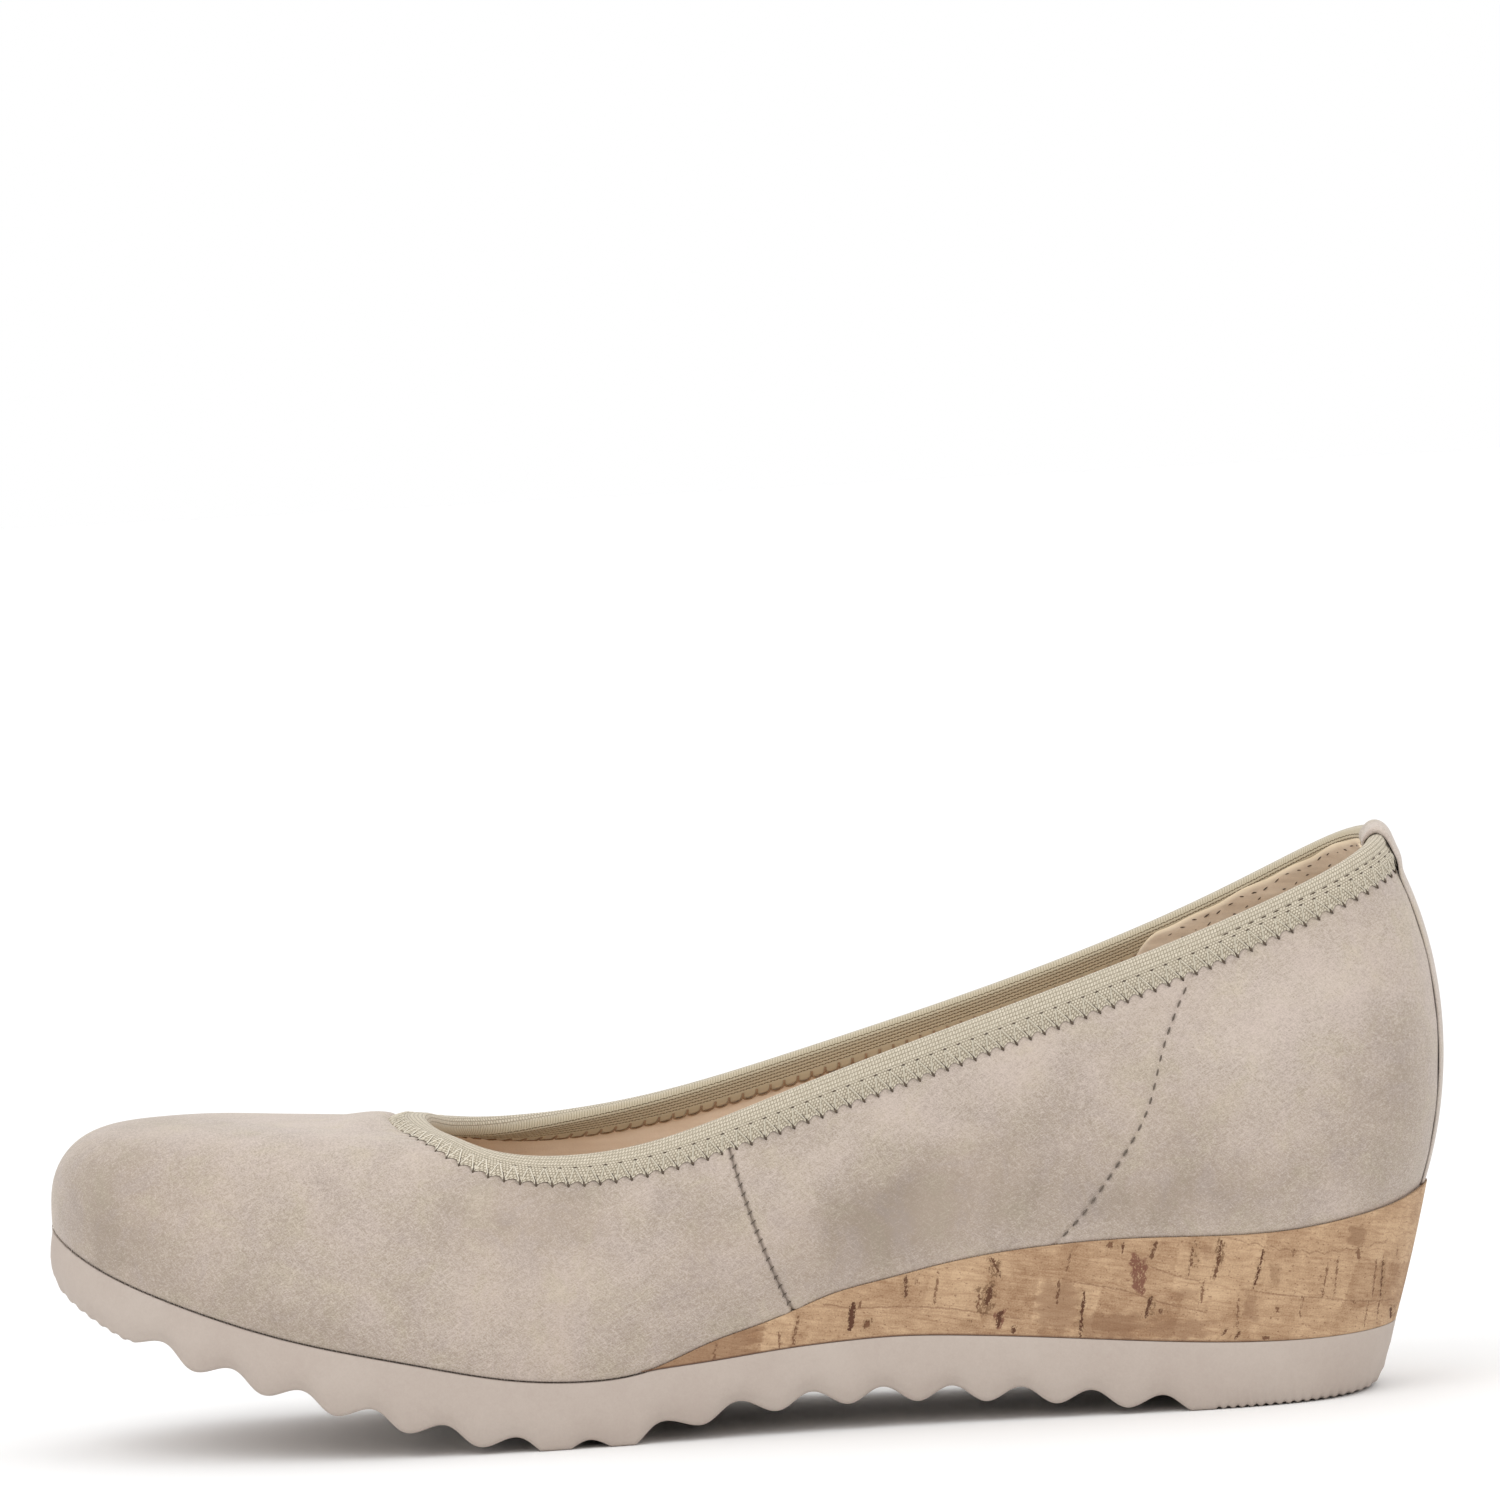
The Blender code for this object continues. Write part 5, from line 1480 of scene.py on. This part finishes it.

# %% [markdown]
# Cork colour: each block has its tone, a fine grain and growth rings run along it, and crumbs and pits
# speckle it. Joints, stains, bark dust and pores are laid over it one after another. Small noise frays their
# borders, so that the straight slits look grown. Last comes the dark line above the rubber: glue, with
# painted shade where cork and rubber meet.

# %% Cork wedge: finish


def cork_finish():
    """Tan between light and dark by block, grain, specks and clouds; then each mark's colour by its share."""
    f = Finish("cork", Specular_IOR_Level=0.25)
    uv = f.flat()
    run, up = f.parts(uv)
    grain = f.noise(f.stretch(uv, (6.0, 0.50, 1.0), 0.16), 1.0, 4.0, 0.65, 0.4)
    sway = f.noise(f.stretch(uv, (8.0, 4.0, 1.0), 0.16), 1.0, 2.0, 0.5)
    speck = f.noise(uv, 3.4, 3.0, 0.65)
    fray = f.noise(f.stretch(uv, (0.55, 0.95, 1.0), 0.25), 1.0, 4.0, 0.7, 0.5)
    chip = f.noise(f.stretch(uv, (0.30, 0.46, 1.0), 0.25), 1.0, 3.0, 0.65, 0.6)
    crumb = f.noise(f.stretch(uv, (0.75, 0.50, 1.0), 0.25), 1.0, 2.0, 0.5)
    pit = f.noise(f.stretch(uv, (0.28, 0.85, 1.0), 0.2), 1.0, 2.0, 0.5)
    cloud = f.noise(uv, 0.16, 3.0, 0.6)
    blot = f.noise(uv, 0.55, 3.0, 0.6)
    nick = fray * 0.55 + chip * 0.45
    tone, deep, stain, bark = (f.value(name) for name in ("tone", "deep", "stain", "bark"))
    shade = tone * 0.13 + grain * 0.38 + speck * 0.42 + cloud * 0.40 + blot * 0.24
    colour = f.mix(shade.step(0.50, 1.04), shade_of(140, 106, 78), shade_of(199, 169, 136))
    ring = ((up - run * 0.15) / 1.9 + tone * 7.0 + sway * 2.2).math("FRACT")
    ring = ((ring - 0.5).math("ABSOLUTE") * 2).step(0.80, 1.0) * cloud.step(0.36, 0.56)
    joint = (f.value("joint") + (nick - 0.5) * 1.4).step(0.58, 0.90)
    stain = stain + (blot - 0.5) * 0.8 * stain.step(0.02, 0.2)
    red = f.value("red").step(0.40, 0.80) * nick.step(0.42, 0.49)
    halo = f.value("halo") * fray.step(0.42, 0.66)
    pore = (f.value("mark") + (nick - 0.5) * 2.0).step(0.51, 0.61)
    dust = f.mix(deep.step(0.5, 0.9), shade_of(106, 70, 49), shade_of(86, 54, 38))
    colour = f.coats(
        colour,
        (ring * 0.34, (138, 101, 74)),
        (crumb.step(0.62, 0.70) * 0.6, (118, 84, 62)),
        (pit.step(0.66, 0.73) * 0.6, (104, 72, 52)),
        (joint * 0.52, (116, 83, 61)),
        (stain.step(0.08, 0.50) * 0.52, (126, 93, 69)),
        (bark.step(0.1, 0.9) * 0.16, (140, 112, 82)),
        ((bark * 0.36 + nick).step(0.80, 0.88) * 0.74, (102, 72, 50)),
        (red * 0.88, (114, 72, 58)),
        (halo * 0.42, (130, 100, 72)),
    )
    colour = f.mix(pore * (0.50 + deep * 0.48), colour, dust)
    # Dark line above the rubber: glue, and painted shade where cork and rubber meet.
    colour = f.coats(colour, (f.value("glue") * (0.45 + chip * 0.6), (88, 62, 52)))
    f.bump(grain * 0.3 + speck * 0.4 - pore * 0.8 - red * 0.5, 0.10, 0.6)
    return f.done(colour, 0.66 + speck * 0.2)


cork = cork_finish()
wedge = put("cork_wedge", cork_points, [faces, front], cork,
            uv=[cork_uv, cork_flat[-1:]], values=cork_values, merge=True)
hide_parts("wedge")

# %% [markdown]
# The outsole is one moulding of light rubber. Waves run across its tread, toe and heel pads carry fine teeth,
# and its side is plain. Cutting the waves out with booleans would leave poor faces, so they are part of the
# tread's height. Stations along the shoe each give one closed loop: outer wall, tread, inner wall and the
# side that is glued to the shoe. Toe and heel ends shrink to a line and close by themselves.

# %% Rubber outsole: shape
SOLE_COLUMNS = ("share", "rise", "grow", "setback")
SOLE_WALL = (   # from the glued side down the wall to the tread
    (1.00, 0.08, -0.70, 5.9), (1.00, 0.08, -0.25, 5.8), (1.00, -0.03, -0.02, 5.8), (1.00, -0.22, 0.05, 5.9),
    (0.85, 0.0, 0.25, 6.5), (0.65, 0.0, 0.55, 7.4), (0.45, 0.0, 0.70, 8.3), (0.28, 0.0, 0.58, 8.8),
    (0.14, 0.3, 0.32, 9.2), (0.00, 1.00, 0.02, 9.6), (0.00, 0.62, -0.10, 9.9), (0.00, 0.30, -0.32, 10.4),
    (0.00, 0.09, -0.60, 11.0), (0.00, 0.00, -0.95, 11.7),
)
TEETH = ((-127.0, -109.0, 2.05, 0.42), (79.5, 122.0, 1.65, 0.42))     # first and last x, pitch, depth
EVEN_FIRST, EVEN_LAST, EVEN_STEP = -116.0, 112.0, 0.42     # x between which the stations stand at even steps
END_STATIONS = 60         # stations of each end, at even turns
TREAD_ACROSS, GLUED_ACROSS = 16, 6     # points across the tread and across the glued side


def notch_phase(x):
    """Count of notches passed from the toe, whole at the top of each notch."""
    table = columns(NOTCHES, NOTCH_COLUMNS)
    return smooth(table["x"], table["number"], x)


def tread(x):
    """Tread line with a cosine notch sunk along its normal, fine rounded teeth on the pads, and no lower than
    the floor. Gives the moved x and the height."""
    phase = notch_phase(x)
    depth = NOTCH_DEPTH * (1 + np.cos(TAU * phase)) / 2
    depth = np.where((phase < -0.5) | (phase > NOTCHES[-1][0] + 0.5), 0.0, depth)
    slope = profile(TREAD_LINE, x + 0.5) - profile(TREAD_LINE, x - 0.5)
    size = np.sqrt(1 + slope ** 2)
    height = np.maximum(profile(TREAD_LINE, x) + depth / size, 0.0)
    for first, last, pitch, deep in TEETH:
        tooth = (0.5 + 0.5 * np.cos(TAU * x / pitch)) ** 1.5
        height = height + deep * tooth * step(first, first + 1, x) * step(last, last - 1, x)
    return x - depth * slope / size, height


def top_of_sole(x):
    """Side that is glued to upper and wedge."""
    return np.where(x < WEDGE_TIP - 3.0, profile(FEATHER_LINE, x), profile(CORK_LINE, x)) - GAP / 2


sole_table = columns(SOLE_WALL, SOLE_COLUMNS)


def sole_side(turns):
    """One side wall of the sole: each row is blended between tread and glued side, then raised and grown."""
    share, rise, grow, setback = (sole_table[name][None, :] for name in SOLE_COLUMNS)
    x, y = wall_plan(turns[:, None], grow, setback)
    foot_x, low = tread(x)
    z = low * (1 - share) + top_of_sole(x) * share + rise
    return np.stack([x + (foot_x - x) * (1 - share), y, z], -1)


even_x = np.arange(EVEN_FIRST, EVEN_LAST, EVEN_STEP)
heel_end, toe_end = (turn_at(np.array(x)) for x in (EVEN_LAST, EVEN_FIRST))
sole_q = np.concatenate([np.linspace(0, heel_end, END_STATIONS)[:-1], turn_at(even_x[::-1]),
                         np.linspace(toe_end, math.pi, END_STATIONS)[1:]])
outer, inner = sole_side(sole_q), sole_side(TAU - sole_q)
bottom = between(outer[:, -1], inner[:, -1], TREAD_ACROSS)
last_x = wall_plan(sole_q, np.full_like(sole_q, sole_table["grow"][-1]), sole_table["setback"][-1])[0]
bottom[..., 2] = tread(last_x)[1][:, None]
top = between(inner[:, 0], outer[:, 0], GLUED_ACROSS)
sole_points = np.concatenate([outer, bottom, inner[:, ::-1], top], axis=1)
faces = grid_faces(*sole_points.shape[:2], False, True)
print("sole stations:", len(sole_q))

# %% [markdown]
# Moulded rubber is matt and even. A dark line along the top of its wall is glue and painted shade of the gap
# under the upper, and the mesh carries it as a value at each point.

# %% Rubber outsole: finish


def rubber_finish():
    """Matt moulded rubber: slow clouding, fine mould grain, and a dark line at the top, glue with painted
    shade of the gap.
    """
    f = Finish("rubber", Specular_IOR_Level=0.3)
    at = f.place()
    cloud = f.noise(at, 0.06, 3.0)
    grain = f.noise(at, 2.8, 3.0, 0.6)
    dust = f.noise(at, 0.8, 4.0, 0.7)
    tone = cloud * 0.5 + grain * 0.25 + dust * 0.25
    colour = f.mix(tone.step(0.3, 0.7), shade_of(173, 159, 149), shade_of(183, 171, 161))
    # Dark line at the top of the wall: glue, and painted shade of the gap under the upper.
    colour = f.coats(colour, (f.value("edge"), (88, 72, 62)))
    f.bump(grain * 0.6 + dust * 0.4, 0.05, 0.5)
    return f.done(colour, 0.6 + dust * 0.15)


GLUE_AND_GAP_SHADE = 0.6
rubber = rubber_finish()
# Painted shade with glue: the top rows of the wall and the hidden glued side carry the dark line.
sole_edge = np.zeros(sole_points.shape[:2])
sole_edge[:, :2] = GLUE_AND_GAP_SHADE
sole_edge[:, -GLUED_ACROSS - 2:] = GLUE_AND_GAP_SHADE
sole = put("rubber_sole", sole_points, [faces], rubber, values={"edge": sole_edge}, merge=True)
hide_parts("outsole")

# %% [markdown]
# The stage is a plain pale floor, wide enough to run out of the picture on all sides.

# %% Floor
FLOOR_REACH, FLOOR_LINES = 14000, 15      # half the floor's side, and grid lines each way
FLOOR_UNDER = -0.02       # just below the sole
floor_finish = Finish("floor", Specular_IOR_Level=0.2)
paper = floor_finish.noise(floor_finish.place(), 0.02, 2.0)
pale_grey = floor_finish.mix(paper, (0.87, 0.87, 0.87), (0.90, 0.90, 0.90))
floor_material = floor_finish.done(pale_grey, paper * 0.1 + 0.8)
lines = np.linspace(-FLOOR_REACH, FLOOR_REACH, FLOOR_LINES)
floor_x, floor_y = np.meshgrid(lines, lines, indexing="ij")
floor_points = np.stack([floor_x, floor_y, np.full_like(floor_x, FLOOR_UNDER)], -1).reshape(-1, 3)
floor_mesh = bpy.data.meshes.new("floor")
floor_mesh.from_pydata((floor_points * MM).tolist(), [], grid_faces(FLOOR_LINES, FLOOR_LINES).tolist())
floor = bpy.data.objects.new("floor", floor_mesh)
floor_mesh.materials.append(floor_material)
bpy.context.scene.collection.objects.link(floor)

# %% [markdown]
# A white surround that grows brighter overhead and two large soft lamps light the suede evenly from above and
# in front, with only soft shadows. One hard lamp would draw the nap's grain too strongly.

# %% Light
SURROUND_LOW, SURROUND_HIGH = 1.0, 1.25    # brightness of the surround at eye level and overhead


class Surround(Finish):
    """The same ways to add nodes, for the light of the world."""

    def __init__(self, world):
        world.use_nodes = True
        self.tree = world.node_tree
        self.shader = self.tree.nodes["Background"]


world = bpy.data.worlds.new("studio")
bpy.context.scene.world = world
surround = Surround(world)
toward = surround.node("ShaderNodeTexCoord", {}, {}, "Generated")
height = surround.node("ShaderNodeSeparateXYZ", {}, {0: toward}, 2)
strength = surround.node("ShaderNodeMapRange", {}, {"Value": height, "From Min": 0.15, "From Max": 0.9,
                                                    "To Min": SURROUND_LOW, "To Max": SURROUND_HIGH})
surround.feed(surround.shader.inputs["Strength"], strength)
surround.feed(surround.shader.inputs["Color"], (1.0, 1.0, 1.0))
LAMPS = (("key", (-0.7, -1.1, 1.5), 1.3, 7.0), ("fill", (1.2, -0.8, 1.0), 1.2, 1.5))     # place, size, power
LAMP_AIM = (0.0, 0.0, 0.04)
for name, place, size, power in LAMPS:
    data = bpy.data.lights.new(name, "AREA")
    data.shape, data.size, data.energy = "DISK", size, power
    lamp = bpy.data.objects.new(name, data)
    bpy.context.scene.collection.objects.link(lamp)
    way = np.array(LAMP_AIM) - np.array(place)
    lamp.location = place
    lean = math.acos(-way[2] / np.linalg.norm(way))
    lamp.rotation_euler = (lean, 0.0, math.atan2(way[1], way[0]) - math.pi / 2)
bpy.context.scene.view_settings.view_transform = "Standard"
print("lamps:", [row[0] for row in LAMPS])

# %% [markdown]
# The camera looks at the outer side from a little above, as the picture does. Its distance and lens keep the
# same perspective. The picture leans by a few degrees, so the camera is rolled, and it aims a little over
# the shoe, because the shoe sits low in the frame.

# %% Camera
AZIMUTH, ELEVATION, ROLL = (math.radians(a) for a in (1.5, 5.0, 3.13))
DISTANCE = 1.6
SENSOR = 36.0
FRAME_SIDE = 1500
FOCAL = 8928 / FRAME_SIDE      # in widths of the picture
AIM_BELOW = 414.5 / FRAME_SIDE   # the aimed point's distance below the picture's middle
aim = np.array([0.00028, -0.00075, 0.045])
back = np.array([math.sin(AZIMUTH) * math.cos(ELEVATION), -math.cos(AZIMUTH) * math.cos(ELEVATION),
                 math.sin(ELEVATION)])
level = np.array([math.cos(AZIMUTH), math.sin(AZIMUTH), 0.0])
upright = np.cross(back, level)
right = math.cos(ROLL) * level - math.sin(ROLL) * upright
up = math.sin(ROLL) * level + math.cos(ROLL) * upright
tilt = math.atan(AIM_BELOW / FOCAL)
up_tilted = math.cos(tilt) * up + math.sin(tilt) * back
back_tilted = math.cos(tilt) * back - math.sin(tilt) * up
spot = aim + DISTANCE * back
lens = bpy.data.cameras.new("camera")
lens.sensor_width, lens.lens = SENSOR, SENSOR * FOCAL
lens.clip_start, lens.clip_end = 0.05, 100.0
camera = bpy.data.objects.new("camera", lens)
pose = np.eye(4)
pose[:3] = np.stack([right, up_tilted, back_tilted, spot], axis=1)
camera.matrix_world = Matrix(pose.tolist())
bpy.context.scene.collection.objects.link(camera)
bpy.context.scene.camera = camera
